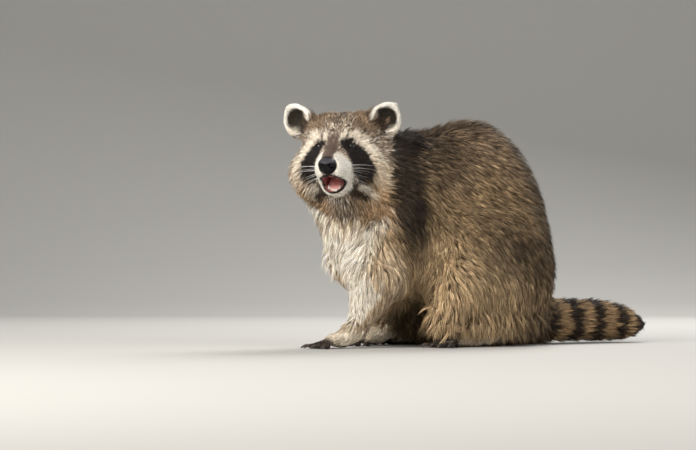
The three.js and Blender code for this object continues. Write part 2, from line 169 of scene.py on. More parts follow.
def maths(tree, operation, a, b=0.0, clamp=False):
    made = node(tree, "ShaderNodeMath", operation=operation, use_clamp=clamp)
    for socket, value in ((made.inputs[0], a), (made.inputs[1], b)):
        if isinstance(value, bpy.types.NodeSocket):
            tree.links.new(value, socket)
        else:
            socket.default_value = value
    return made.outputs[0]


def floor_and_backdrop():
    made, tree, shader = new_material("pale_floor")
    shader.inputs["Base Color"].default_value = (0.46, 0.455, 0.44, 1)
    shader.inputs["Roughness"].default_value = 0.9
    bm = bmesh.new()
    edge = [bm.verts.new(from_view(-6, 0, 5)), bm.verts.new(from_view(6, 0, 5))]
    rail = bm.edges.new(edge)
    sweep = [(-2.2, 0)]
    for i in range(1, 9):
        angle = math.pi / 2 * i / 8
        sweep.append((-2.2 - 1.5 * math.sin(angle), 1.5 - 1.5 * math.cos(angle)))
    sweep.append((-3.7, 6))
    last = (5, 0)
    for back, up in sweep:
        moved = bmesh.ops.extrude_edge_only(bm, edges=[rail])["geom"]
        corners = [part for part in moved if isinstance(part, bmesh.types.BMVert)]
        step = from_view(0, up - last[1], back - last[0])
        bmesh.ops.translate(bm, verts=corners, vec=Vector(step))
        rail = next(part for part in moved if isinstance(part, bmesh.types.BMEdge))
        last = (back, up)
    bmesh.ops.recalc_face_normals(bm, faces=bm.faces)
    mesh = bpy.data.meshes.new("studio_floor")
    bm.to_mesh(mesh)
    mesh.shade_smooth()
    mesh.materials.append(made)
    floor = bpy.data.objects.new("studio_floor", mesh)
    bpy.context.scene.collection.objects.link(floor)


floor_and_backdrop()

# ---- The skin: every flesh node as one mesh, drawn in by the depth of the coat ----
FLESH = [
    name for name in sorted(nodes)
    if not ("claw" in name or name.startswith("eye_") or name in ("nose", "tongue"))
]
VOXEL = 3.0
EYE_SIDE = 21.5
NOSE_AT = np.array([93.5, 0.0, -21.0])
MOUTH_SIDE = 2.4

# How deep the coat of each part is, in millimetres.
COAT_DEPTH = {
    "head": 5, "jaw": 4, "ear": 0.9, "neck": 19, "trunk": 21, "upper_arm": 15, "forearm": 8.5,
    "forepaw": 1.6, "thigh": 19, "hind_foot": 2.2, "tail": 20,
}
PARTS = list(COAT_DEPTH)
part_of_flesh = np.array([next(i for i, key in enumerate(PARTS) if name.startswith(key)) for name in FLESH])


def is_part(parts, *names):
    return np.isin(parts, [PARTS.index(name) for name in names])


def piece(name, mesh, material, slot, *replaced):
    """A finished mesh as a piece of the model."""
    made = bpy.data.objects.new(name, mesh)
    bpy.context.scene.collection.objects.link(made)
    mesh.materials.clear()
    mesh.materials.append(material)
    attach(made, "root")
    if replaced:
        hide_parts(*replaced)
    return made


def flesh_mesh(grow):
    """The flesh nodes side by side, each grown a little so that they touch, and the node of each face."""
    whole = bmesh.new()
    owners = []
    for index, name in enumerate(FLESH):
        part = bmesh.new()
        part.from_mesh(nodes[name].data)
        bmesh.ops.remove_doubles(part, verts=part.verts, dist=2e-5)
        part.normal_update()
        for vertex in part.verts:
            vertex.co += vertex.normal * grow * MM
        mesh = bpy.data.meshes.new("part")
        part.to_mesh(mesh)
        part.free()
        owners += [index] * len(mesh.polygons)
        whole.from_mesh(mesh)
        bpy.data.meshes.remove(mesh)
    for side in (1, -1):
        before = len(whole.faces)
        middle_of_eye = Vector(from_head(np.array([EYE_FORWARD, side * EYE_SIDE, 0.0])) * MM)
        closed_eye = Matrix.Translation(middle_of_eye)
        bmesh.ops.create_icosphere(whole, subdivisions=4, radius=(EYE_RADIUS + 2.4) * MM, matrix=closed_eye)
        owners += [FLESH.index("head")] * (len(whole.faces) - before)
    return whole, np.array(owners)


def voxelised(bm, voxel):
    mesh = bpy.data.meshes.new("raw")
    bm.to_mesh(mesh)
    raw = bpy.data.objects.new("raw", mesh)
    bpy.context.scene.collection.objects.link(raw)
    remesh = raw.modifiers.new("remesh", "REMESH")
    remesh.mode, remesh.voxel_size, remesh.adaptivity = "VOXEL", voxel * MM, 0
    graph = bpy.context.evaluated_depsgraph_get()
    made = bpy.data.meshes.new_from_object(raw.evaluated_get(graph))
    bpy.data.objects.remove(raw)
    bpy.data.meshes.remove(mesh)
    return made


def read(collection, name, width, kind=float):
    values = np.empty(len(collection) * width, kind)
    collection.foreach_get(name, values)
    return values.reshape(-1, width)


class Web:
    """A mesh's points, edges and normals as arrays, in millimetres."""

    def __init__(self, mesh):
        self.mesh = mesh
        self.count = len(mesh.vertices)
        self.points = read(mesh.vertices, "co", 3) / MM
        a, b = read(mesh.edges, "vertices", 2, int).T
        self.start, self.finish = np.concatenate([a, b]), np.concatenate([b, a])
        self.degree = np.maximum(np.bincount(self.start, minlength=self.count), 1)

    def mean_of_neighbours(self, values):
        flat = values.reshape(self.count, -1)
        sums = [np.bincount(self.start, column[self.finish], self.count) for column in flat.T]
        return (np.stack(sums, 1) / self.degree[:, None]).reshape(values.shape)

    def smoothed(self, values, rounds, share=0.5):
        for _ in range(rounds):
            values = values + share * (self.mean_of_neighbours(values) - values)
        return values

    def store(self):
        self.mesh.vertices.foreach_set("co", (self.points * MM).ravel())
        self.mesh.update()

    def normals(self):
        self.store()
        return read(self.mesh.vertex_normals, "vector", 3)


def mouth_depth(head_points):
    """How deep a point lies in the mouth's pocket: above 0 inside, below 0 outside, about in millimetres."""
    x, y, z = head_points.T
    t = np.clip((np.sqrt(3136 + 80 * np.clip(x - 34, 0, 76)) - 56) / 40, 0, 1)
    centre = -42 - 4 * t - 4 * t * t
    half_width = 4 + 9.4 * (1 - (1 - t) ** 3)
    half_height = half_width * 0.87
    reach = np.sqrt(((y - MOUTH_SIDE) / half_width) ** 2 + ((z - centre) / half_height) ** 2)
    return (1 - reach) * half_height - np.maximum(36 - x, 0)


def subdivided(mesh, chosen):
    """The mesh with the faces whose corners are all chosen cut finer."""
    bm = bmesh.new()
    bm.from_mesh(mesh)
    wanted = chosen(np.array([v.co for v in bm.verts]) / MM)
    edges = [e for e in bm.edges if wanted[e.verts[0].index] and wanted[e.verts[1].index]]
    bmesh.ops.subdivide_edges(bm, edges=edges, cuts=1, use_grid_fill=True)
    bmesh.ops.triangulate(bm, faces=[f for f in bm.faces if len(f.verts) > 4])
    bm.to_mesh(mesh)
    bm.free()


def near_face(points):
    h = to_head(points)
    return (h[:, 0] > 26) & (h[:, 2] > -70) & (h[:, 2] < 24) & (np.abs(h[:, 1]) < 42)


def near_eyes_and_mouth(points):
    h = to_head(points)
    eyes = np.minimum(*[np.linalg.norm(h - (50, side * 22.5, 0), axis=1) for side in (1, -1)])
    lips = np.linalg.norm((h - (78, 0, -46)) / (1.1, 1, 1), axis=1)
    return (eyes < 12.5) | (lips < 22)


def eye_frame(side):
    """An eye's middle and its axes in the head: the way it looks, sideways, up."""
    centre = np.array([EYE_FORWARD, side * EYE_SIDE, 0.0])
    look = unit(np.array([0.90, side * 0.34, 0.06]))
    across = unit(np.cross((0, 0, 1), look))
    return centre, look, across, np.cross(look, across)


def between_lids(side, towards):
    """Above 0 where a direction from the eye's middle passes between its lids, in radians."""
    _, look, across, up = eye_frame(side)
    ahead = towards @ look
    s = np.arctan2(towards @ across, ahead) * side
    t = np.arctan2(towards @ up, ahead) - 0.1 * s
    width, rise, drop = 0.95, 0.42, 0.40
    bow = np.clip(1 - (s / width) ** 2, 0, 1)
    lens = np.where(t > 0, rise, drop) * bow ** 0.8
    return np.where(ahead > 0, lens - np.abs(t), -1)


def set_eyes(points):
    """The skin wraps each eyeball as lids, and passes behind its front between them."""
    h = to_head(points)
    for side in (1, -1):
        centre, look, _, _ = eye_frame(side)
        off = h - centre
        far = np.linalg.norm(off, axis=1)
        towards = off / far[:, None]
        gap = between_lids(side, towards)
        lid = EYE_RADIUS + 0.7 + 0.5 * np.exp(-((gap + 0.12) / 0.1) ** 2)
        lid += 1.3 * ramp(-gap, 0.2, 0.7) * ramp(towards[:, 2], -0.3, 0.4)
        behind = EYE_RADIUS - 1.2
        target = behind + (lid - behind) * ramp(-gap, -0.09, 0.03)
        hold = ramp(far, 14.0, 9.5) * ramp(towards @ look, 0.0, 0.35)
        h = centre + towards * (far + (target - far) * hold)[:, None]
    return from_head(h)


def set_mouth(points, normals):
    """The mouth's walls and lips run smoothly round the pocket."""
    h = to_head(points)
    n = normals @ HEAD_AXES
    step = 0.05
    for _ in range(4):
        deep = mouth_depth(h)
        slope = np.stack([(mouth_depth(h + step * axis) - deep) / step for axis in np.eye(3)], 1)
        slope /= np.maximum(np.linalg.norm(slope, axis=1, keepdims=True), 0.3)
        inside = ((n * slope).sum(1) > 0.15) & (deep > -5) & (h[:, 0] > 30) & (h[:, 0] < 104)
        h = h - slope * np.clip(deep, -4, 8)[:, None] * inside[:, None]
    return from_head(h)


def folds_of_face(points, normals):
    """The groove under the nose, the lips' rolled edge, the whisker pads and the brows."""
    h = to_head(points)
    x, y, z = h.T
    lift = -1.6 * np.exp(-(y / 1.6) ** 2) * ramp(x, 74, 82) * ramp(z, -46, -38) * ramp(z, -24, -30)
    lift += 1.1 * np.exp(-((mouth_depth(h) + 2.2) / 1.5) ** 2) * ramp(x, 58, 70)
    pads = ((x - 78) / 9) ** 2 + ((np.abs(y) - 13) / 6) ** 2 + ((z + 31) / 6) ** 2
    lift += 1.3 * np.exp(-pads)
    brows = ((np.abs(y) - 19) / 11) ** 2 + ((z - 13 - 0.2 * np.abs(y)) / 5) ** 2
    lift += 2.0 * np.exp(-brows) * ramp(x, 25, 38)
    corner = ((x - 56) / 5) ** 2 + ((np.abs(y) - 13.5) / 3.5) ** 2 + ((z + 2) / 5) ** 2
    lift -= 1.0 * np.exp(-corner)
    return points + normals * lift[:, None]


def depth_of_coat(points, parts):
    """How far the skin lies under the tips of the coat."""
    depth = np.array(list(COAT_DEPTH.values()), float)[parts]
    x, y, z = to_head(points).T
    face = 1.2 + 3.0 * ramp(x, 66, 34) + 3.5 * ramp(x, 30, -20)
    face += 8.5 * ramp(np.abs(y), 30, 56) * ramp(x, 42, 12) * ramp(z, 22, -12)
    face += 9 * ramp(z, -52, -80) * ramp(x, 72, 36)
    face *= np.where(mouth_depth(np.stack([x, y, z], 1)) > -1.2, 0.0, 1.0)
    depth = np.where(is_part(parts, "head", "jaw"), face, depth)
    return depth * np.where(is_part(parts, "forepaw", "hind_foot"), ramp(points[:, 2], 1, 7), 1)


TAIL_LINE = np.array([
    (-118, 0, 60), (-165, -4, 33), (-225, -14, 32), (-290, -18, 31), (-344, -10, 26), (-380, -4, 24),
], float)


def tail_line(x):
    """The middle of the tail at a place along the body."""
    order = TAIL_LINE[::-1]
    return np.stack([x, np.interp(x, order[:, 0], order[:, 1]), np.interp(x, order[:, 0], order[:, 2])], 1)


def thickness(web):
    """How thick the flesh is behind each point, straight through."""
    bm = bmesh.new()
    bm.from_mesh(web.mesh)
    tree = BVHTree.FromBMesh(bm)
    bm.free()
    found = []
    for place, normal in zip(web.points * MM, web.normals()):
        back = Vector(-normal)
        hit = tree.ray_cast(Vector(place) + back * 2e-4, back)[3]
        found.append(90.0 if hit is None else hit / MM)
    return np.array(found)


def draw_in(web, parts, broad):
    """Moves every point to its place under the coat, in small steps so that creases don't fold over."""
    steps = 8
    body = to_body(web.points)
    on_tail = is_part(parts, "tail") & (body[:, 0] < -130)
    inward = tail_line(body[:, 0]) - body
    inward[:, 0] += np.clip(-300 - body[:, 0], 0, 50) * 0.8
    web.store()
    thick = web.smoothed(np.minimum(thickness(web), 90), 3)
    depth = web.smoothed(np.minimum(depth_of_coat(web.points, parts), 0.36 * thick), 6)
    for _ in range(steps):
        shift = -web.normals() * (depth / steps)[:, None]
        shift = np.where(on_tail[:, None], inward * 0.5 / steps, shift)
        web.points = web.points + web.smoothed(shift, 4)
        web.points += (web.smoothed(web.points, 2) - web.points) * broad[:, None]


def nearest(tree, points):
    """For each point in millimetres: the nearest face of the tree and how far away it is."""
    found = [tree.find_nearest(Vector(p)) for p in points * MM]
    return np.array([f[2] for f in found]), np.array([f[3] for f in found]) / MM


class Skin:
    """The finished skin and what is known at each of its points."""


def make_skin():
    raw, owners = flesh_mesh(0.35)
    raw_tree = BVHTree.FromBMesh(raw)
    mesh = voxelised(raw, VOXEL)
    raw.free()
    web = Web(mesh)
    parts = part_of_flesh[owners[nearest(raw_tree, web.points)[0]]]
    fine = is_part(parts, "head", "jaw", "ear", "forepaw", "hind_foot").astype(float)
    broad = 1 - web.smoothed(fine, 12)
    web.points = web.smoothed(web.points, 4)
    web.points += (web.smoothed(web.points, 24) - web.points) * broad[:, None]
    outline = mesh.copy()
    outline.vertices.foreach_set("co", (web.points * MM).ravel())
    outline_corner = read(mesh.loops, "vertex_index", 1, int)[read(mesh.polygons, "loop_start", 1, int)][:, 0, 0]
    outline_parts = parts
    draw_in(web, parts, broad)
    web.store()
    subdivided(mesh, near_face)
    subdivided(mesh, near_eyes_and_mouth)
    web = Web(mesh)
    on_face = near_face(web.points).astype(float)[:, None]
    web.points += (web.smoothed(web.points, 3) - web.points) * on_face
    web.points = set_mouth(web.points, web.normals())
    web.points = folds_of_face(web.points, web.normals())
    web.points = set_eyes(web.points)
    web.points[:, 2] = np.maximum(web.points[:, 2], 0.0)
    normals = web.normals()

    bm = bmesh.new()
    bm.from_mesh(outline)
    face, cover = nearest(BVHTree.FromBMesh(bm), web.points)
    bm.free()
    bpy.data.meshes.remove(outline)
    made = Skin()
    made.mesh, made.web, made.points, made.normals = mesh, web, web.points, normals
    made.parts = outline_parts[outline_corner[face]]
    made.cover = cover
    return made


skin = make_skin()
print("skin", len(skin.mesh.vertices), len(skin.mesh.polygons))


# ---- Markings and painted shade: how much of each dye the coat has at a place ----
# A dye is the colour of a hair at its root, along its length, in its pale band and at its tip.
DYES = {
    "flank": ((50, 38, 26), (94, 75, 53), (180, 153, 117), (68, 52, 36)),
    "back": ((40, 32, 24), (72, 58, 45), (158, 134, 108), (50, 39, 30)),
    "dark": ((13, 9, 6), (27, 20, 14), (48, 36, 25), (22, 16, 11)),
    "fringe": ((92, 72, 50), (158, 131, 98), (214, 187, 148), (180, 154, 119)),
    "chest": ((96, 77, 58), (160, 138, 113), (214, 192, 162), (184, 162, 135)),
    "white": ((186, 166, 140), (232, 218, 198), (248, 240, 226), (248, 240, 226)),
    "cream": ((158, 136, 112), (224, 207, 186), (246, 236, 221), (240, 226, 207)),
    "black": ((13, 10, 9), (22, 18, 17), (40, 33, 31), (25, 21, 20)),
    "muzzle": ((216, 204, 188), (243, 235, 222), (251, 246, 236), (251, 246, 236)),
    "rust": ((60, 44, 28), (124, 93, 60), (186, 149, 106), (136, 104, 70)),
    "brow": ((50, 40, 34), (90, 75, 64), (196, 176, 155), (80, 65, 55)),
    "bridge": ((62, 50, 45), (88, 73, 66), (114, 97, 88), (88, 73, 66)),
    # The inner ear's dark fur, made darker still as painted shade for the shadow inside the ear.
    "ear": ((15, 12, 9), (25, 21, 17), (62, 54, 43), (28, 24, 19)),
    "rim": ((226, 212, 190), (250, 243, 230), (253, 249, 240), (253, 249, 240)),
    "buff_ring": ((92, 70, 46), (150, 122, 88), (190, 160, 120), (140, 112, 80)),
    "dark_ring": ((24, 19, 16), (42, 33, 27), (60, 48, 38), (34, 26, 22)),
    "paw": ((158, 140, 118), (212, 196, 174), (234, 220, 200), (228, 213, 192)),
    "digit": ((34, 28, 25), (60, 51, 45), (92, 80, 70), (58, 49, 43)),
}
DYE_NAMES = list(DYES)


def linear(colours):
    c = np.asarray(colours, float) / 255
    return np.where(c <= 0.04045, c / 12.92, ((c + 0.055) / 1.055) ** 2.4)


DYE_ROWS = linear(list(DYES.values()))


def stroke(u, v, path):
    """How far inside a line of round dabs, each (u, v, radius), a place is; below 0 outside."""
    best = np.full(len(u), -1e3)
    for (u0, v0, r0), (u1, v1, r1) in zip(path, path[1:]):
        du, dv = u1 - u0, v1 - v0
        t = np.clip(((u - u0) * du + (v - v0) * dv) / (du * du + dv * dv), 0, 1)
        best = np.maximum(best, r0 + (r1 - r0) * t - np.hypot(u - u0 - du * t, v - v0 - dv * t))
    return best


def ripple(points, size, seed=0):
    """A smooth wandering value from -1 to 1 over space, with waves of about the given size."""
    made = np.random.default_rng(90 + seed)
    total = 0
    for _ in range(5):
        way = unit(made.normal(size=3)) * 2 * math.pi / (size * made.uniform(0.7, 1.5))
        total = total + np.sin(points @ way + made.uniform(0, 6.3))
    return total / 2.6


class Dyeing:
    """Shares of the dyes at each place, laid one over another."""

    def __init__(self, count, first):
        self.shares = np.zeros((count, len(DYES)))
        self.shares[:, DYE_NAMES.index(first)] = 1

    def lay(self, name, share):
        share = np.clip(share, 0, 1)[:, None]
        self.shares *= 1 - share
        self.shares[:, DYE_NAMES.index(name)] += share[:, 0]


BROW_STRIPE = [(3, 11, 6), (15, 9, 8), (25, 2, 7.5), (37, -9, 7), (48, -25, 8), (52, -42, 10), (50, -57, 7)]
MASK = [(-1, -1.0, 5.5), (8.7, -4.0, 9.5), (13, -11, 10.5), (21, -22, 13.5), (26, -37, 15), (27, -48, 11)]
MUZZLE = [(-9, -19, 7), (-5, -31, 13), (-3, -44, 14), (-2, -57, 12), (-9, -67, 7.5)]
JAW_PATCH = [(14, -64, 11), (26, -68, 10)]
EAR_FOOT = [(50, 30, 7), (54, 18, 6)]
CHEEK_STREAK = [(22, -60, 5), (38, -70, 6)]
TAIL_RINGS = [(-178, 11), (-222, 11), (-264, 11), (-305, 10)]


def dye_head(dyeing, points, parts):
    x, y, z = to_head(points).T
    here = is_part(parts, "head", "jaw").astype(float)
    side = np.abs(y)
    u, v = 0.966 * side - 0.259 * x, 0.99 * z - 0.105 * x
    front = ramp(x, -18, 2) * here
    wander = 1.6 * ripple(points, 14, 1) + 1.0 * ripple(points, 6, 2)
    dyeing.lay("brow", here)
    dyeing.lay("dark", here * ramp(x, -14, -30) * 0.9)
    dyeing.lay("back", here * ramp(z + wander, 30, 42) * 0.7)
    dyeing.lay("back", here * ramp(side, 15, 25) * ramp(v + wander, 13, 19) * 0.95)
    dyeing.lay("dark", here * ramp(stroke(u, v, EAR_FOOT) + wander, -3, 3) * 0.85)
    dyeing.lay("dark", here * np.exp(-((side + 0.4 * wander) / 6) ** 2) * ramp(v, 20, 28) * ramp(v, 60, 46) * 0.55)
    dyeing.lay("rust", here * ramp(v + wander, -58, -70) * ramp(side, 8, 26) * 0.6)
    dyeing.lay("cream", front * ramp(stroke(u, v, BROW_STRIPE) + 1.2 * wander, -4, 3))
    dyeing.lay("fringe", here * ramp(z, -8, -30) * ramp(side, 36, 52) * ramp(z, -84, -60) * 0.5)
    # Painted shade at the back of the cheek: the shadow between head and neck, full on the near side, half as strong on
    # the far side.
    dyeing.lay("dark", here * ramp(u + 1.5 * wander, 62, 68) * ramp(v, 24, 14) * np.where(y > 0, 0.95, 0.5))
    dyeing.lay("bridge", front * ramp(side + wander, 12, 6.5) * ramp(x, 48, 56) * 0.9)
    dyeing.lay("cream", front * np.exp(-((side - 12 - 0.15 * (z - 14)) / 3.2) ** 4 - ((z - 15) / 8.5) ** 4) * 0.95)
    dyeing.lay("cream", here * ramp(-y, 34, 48) * ramp(z, -6, -22) * ramp(z, -74, -54) * ramp(u, 66, 58) * 0.5)
    dyeing.lay("black", front * ramp(stroke(u, v, MASK) + 0.8 * wander, -2.5, 2.0))
    dyeing.lay("black", front * np.exp(-((side - 17.4 - 0.15 * (z - 14)) / 1.9) ** 4 - ((z - 11) / 9.5) ** 4) * 0.9)
    dyeing.lay("rust", here * ramp(v + wander, -46, -62) * ramp(side, 32, 44) * ramp(u, 62, 54) * 0.4)
    dyeing.lay("dark", front * ramp(stroke(u, v, JAW_PATCH) + wander, -4, 3) * 0.92)
    dyeing.lay("cream", front * ramp(stroke(u, v, CHEEK_STREAK) + wander, -3, 3) * 0.7)
    nose_side = ramp(side + 0.6 * wander, 5.5, 9)
    muzzle = ramp(stroke(u, v, MUZZLE) + 0.5 * wander, -2, 2) * np.maximum(nose_side, ramp(z, -24, -32))
    muzzle = np.maximum(muzzle, ramp(x, 62, 70) * ramp(z, -29, -34))
    dyeing.lay("muzzle", front * ramp(x, 40, 50) * muzzle)
    dyeing.lay("bridge", front * np.exp(-(y / 8) ** 4) * ramp(z, -29, -32) * ramp(x, 70, 80) * 0.8)
    dyeing.lay("bridge", front * ramp(side + wander, 9, 5) * ramp(z, -30, -22) * ramp(x, 60, 70) * 0.9)
    lips = ramp(mouth_depth(np.stack([x, y, z], 1)), -4.4, -3.4) * ramp(x, 34, 44)
    dyeing.lay("black", here * lips)
    dyeing.lay("black", here * (mouth_depth(np.stack([x, y, z], 1)) > -0.5))


def dye_ears(dyeing, points, parts, normals):
    x, y, z = to_head(points).T
    here = is_part(parts, "ear").astype(float)
    spread = np.where(y > 0, 58, 64)
    reach = np.hypot(np.abs(y) - spread, z - 33.5)
    dyeing.lay("back", here)
    ahead = (normals @ HEAD_AXES)[:, 0]
    rim = ramp(reach - 2.5 * (ahead < 0), 14.5, 17.5)
    inner = here * (ahead > 0)
    # Dark inner-ear fur, with painted shade for the shadow inside the ear.
    dyeing.lay("ear", inner)
    dyeing.lay("cream", inner * ramp(np.abs(y), spread - 7, spread - 13) * ramp(z, 24, 34) * 0.9)
    dyeing.lay("rim", here * rim)
    dyeing.lay("cream", here * ramp(z, 28, 16) * ramp(np.abs(y), spread - 6, spread + 4) * 0.8)


def dye_body(dyeing, points, parts, normals):
    b = to_body(points)
    x, y, z = b.T
    wander = ripple(points, 60, 3)
    fine = ripple(points, 18, 4)
    trunk = is_part(parts, "trunk", "thigh", "neck", "upper_arm", "forearm").astype(float)
    behind = ramp(x, -20, -110)
    dyeing.lay("back", trunk * ramp(z + 22 * wander, 185, 285) * 0.85)
    dyeing.lay("dark", trunk * ramp(np.abs(y) + 12 * wander, 62, 18) * ramp(z, 150, 240) * ramp(x, 130, 60) * 0.5)
    dyeing.lay("dark", trunk * ramp(x + 6 * wander, -88, -135) * ramp(z, 40, 110) * 0.75)
    haunch = ((x + 60) / 46) ** 2 + ((z - 120) / 44) ** 2
    dyeing.lay("dark", trunk * np.minimum(1.25 * np.exp(-haunch), 1) * (0.85 + 0.15 * fine))
    dyeing.lay("dark", trunk * ramp(x, -30, 15) * ramp(x, 85, 50) * ramp(z + 8 * fine, 195, 235) * 0.45)
    low = trunk * ramp(z + 14 * wander, 150, 70)
    dyeing.lay("fringe", low * ramp(x, -95, -40) * ramp(x, 108, 90) * 0.62)
    front_of_haunch = np.exp(-((x - 52 + 0.25 * (z - 100)) / 28) ** 2) * ramp(z, 175, 120)
    dyeing.lay("fringe", trunk * front_of_haunch * (x < 100))
    fore = is_part(parts, "neck", "upper_arm", "forearm") | (is_part(parts, "trunk") & (x > 100))
    dyeing.lay("chest", fore * ramp(z + 16 * wander, 188, 112) * ramp(x + 6 * wander - 40 * ramp(z, 110, 150), 92, 112))
    # Dark fur across the shoulder and on the neck behind the cheek ruff, darkened to near black as painted shade for
    # the shadow the head casts there.
    band = ramp(np.abs(x + 4 * fine - 92 - 0.05 * (z - 180)), 30, 17)
    dyeing.lay("dark", trunk * band * ramp(z + 8 * fine, 100, 160) * 0.97)
    dyeing.lay("dark", is_part(parts, "neck") * ramp(z + 10 * wander, 190, 215) * ramp(x, 165, 135) * 0.97)
    dyeing.lay("rust", is_part(parts, "neck") * ramp(z, 195, 220) * ramp(x, 140, 165) * 0.35)
    ahead = normals[:, 0] - 0.25 * np.abs(normals[:, 1])
    turned_ahead = np.where(is_part(parts, "forearm"), 0.0, 0.48)
    front = ramp(ahead + 0.12 * wander - turned_ahead, 0, 0.35) * ramp(x, 110, 135) * ramp(z, 232, 200)
    dyeing.lay("white", fore * front * 0.97)
    # Painted shade under the belly: dark dye laid low on the trunk for the shadow beneath the body.
    under = trunk * ramp(z, 70, 38) * ramp(np.abs(y), 70, 40) * ramp(x, 105, 80)
    dyeing.lay("dark", under * 0.3)
    dyeing.lay("dark", trunk * behind * ramp(z, 66, 30) * 0.4)


def dye_tail_and_feet(dyeing, points, parts):
    x, y, z = to_body(points).T
    tail = is_part(parts, "tail").astype(float)
    dyeing.lay("buff_ring", tail * ramp(x, -130, -160))
    rings = np.zeros(len(x))
    for middle_of_ring, half in TAIL_RINGS:
        rings = np.maximum(rings, ramp(np.abs(x - middle_of_ring + 3 * ripple(points, 16, 5)), half + 4, half - 4))
    rings = np.maximum(rings, ramp(x, -325, -336))
    dyeing.lay("dark_ring", tail * rings)
    fore, hind = is_part(parts, "forepaw"), is_part(parts, "hind_foot")
    dyeing.lay("paw", (fore | hind) * 1.0)
    dyeing.lay("paw", is_part(parts, "forearm") * ramp(z, 50, 26) * 0.2)
    dyeing.lay("fringe", hind * ramp(z, 8, 16) + fore * ramp(z, 20, 32) * 0.6)
    dyeing.lay("digit", fore * digits(points, "forepaw", 0.7) + hind * digits(points, "hind_foot", 0.7))
    dyeing.lay("digit", (fore | hind) * ramp(z, 5, 2.5))


def digits(points, foot, share_behind):
    """Where the digits are: the front of each foot, past the given share of its length."""
    share = np.zeros(len(points))
    for name in (foot + "_left", foot + "_right"):
        low, high = [np.array(c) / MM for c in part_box(name)]
        inside = np.all((points > low - 6) & (points < high + 6), axis=1)
        start = low[0] + (high[0] - low[0]) * share_behind
        share = np.where(inside, ramp(points[:, 0], start, start + 8), share)
    return share


def dyes_at(points, parts, normals):
    dyeing = Dyeing(len(points), "flank")
    dye_body(dyeing, points, parts, normals)
    dye_head(dyeing, points, parts)
    dye_ears(dyeing, points, parts, normals)
    dye_tail_and_feet(dyeing, points, parts)
    return dyeing.shares


def paint(mesh, colours):
    made = mesh.attributes.new("dye", "FLOAT_COLOR", "POINT")
    made.data.foreach_set("color", np.concatenate([colours, np.ones((len(colours), 1))], 1).ravel())


def dye_node(tree):
    return node(tree, "ShaderNodeAttribute", attribute_name="dye").outputs["Color"]


def position(tree, scale, kind="Object"):
    coordinates = node(tree, "ShaderNodeTexCoord").outputs[kind]
    return node(tree, "ShaderNodeMapping", {"Vector": coordinates, "Scale": (scale,) * 3}).outputs[0]


def fur_grain_group():
    """Mottles a colour as hair of uneven shade does, and gives a height for the hair's relief."""
    group = bpy.data.node_groups.new("fur_grain", "ShaderNodeTree")
    face = group.interface
    face.new_socket("Colour", in_out="INPUT", socket_type="NodeSocketColor")
    face.new_socket("Vector", in_out="INPUT", socket_type="NodeSocketVector")
    face.new_socket("Size", in_out="INPUT", socket_type="NodeSocketFloat")
    face.new_socket("Strength", in_out="INPUT", socket_type="NodeSocketFloat")
    face.new_socket("Colour", in_out="OUTPUT", socket_type="NodeSocketColor")
    face.new_socket("Height", in_out="OUTPUT", socket_type="NodeSocketFloat")
    given = group.nodes.new("NodeGroupInput").outputs
    out = group.nodes.new("NodeGroupOutput").inputs
    grain = node(group, "ShaderNodeTexNoise", {"Vector": given["Vector"], "Scale": given["Size"], "Detail": 3.0})
    swing = maths(group, "SUBTRACT", grain.outputs["Fac"], 0.5)
    gain = maths(group, "ADD", maths(group, "MULTIPLY", swing, given["Strength"]), 1.0)
    scaled = node(group, "ShaderNodeVectorMath", {0: given["Colour"]}, operation="SCALE")
    group.links.new(gain, scaled.inputs["Scale"])
    group.links.new(scaled.outputs[0], out["Colour"])
    group.links.new(grain.outputs["Fac"], out["Height"])
    return group


FUR_GRAIN = fur_grain_group()


def grained(tree, colour, size, strength):
    made = tree.nodes.new("ShaderNodeGroup")
    made.node_tree = FUR_GRAIN
    tree.links.new(colour, made.inputs["Colour"])
    tree.links.new(position(tree, 1.0), made.inputs["Vector"])
    made.inputs["Size"].default_value, made.inputs["Strength"].default_value = size, strength
    return made.outputs["Colour"], made.outputs["Height"]


def skin_material():
    """Skin under the coat: hair-covered where the coat is, bare and leathery on lips, lids and pads."""
    made, tree, shader = new_material("skin_under_coat")
    colour, height = grained(tree, dye_node(tree), 420.0, 0.9)
    bare = attribute(tree, "bare")
    wet = attribute(tree, "wet")
    leather = mixed(tree, wet, (0.012, 0.010, 0.009), (0.5, 0.15, 0.14))
    tree.links.new(mixed(tree, bare, colour, leather), shader.inputs["Base Color"])
    rough = maths(tree, "SUBTRACT", 0.8, maths(tree, "MULTIPLY", bare, 0.32))
    tree.links.new(maths(tree, "SUBTRACT", rough, maths(tree, "MULTIPLY", wet, 0.25)), shader.inputs["Roughness"])
    tree.links.new(maths(tree, "SUBTRACT", 0.4, maths(tree, "MULTIPLY", bare, 0.25)), shader.inputs["Specular IOR Level"])
    creases = node(tree, "ShaderNodeTexVoronoi", {"Vector": position(tree, 1.0), "Scale": 900.0}, feature="F1")
    bumps = maths(tree, "ADD", maths(tree, "MULTIPLY", height, 0.8), maths(tree, "MULTIPLY", creases.outputs["Distance"], 0.3))
    bump = node(tree, "ShaderNodeBump", {"Height": bumps, "Strength": 0.5, "Distance": 0.0006})
    tree.links.new(bump.outputs[0], shader.inputs["Normal"])
    return made


def store_value(mesh, name, values):
    made = mesh.attributes.new(name, "FLOAT", "POINT")
    made.data.foreach_set("value", np.asarray(values, float))


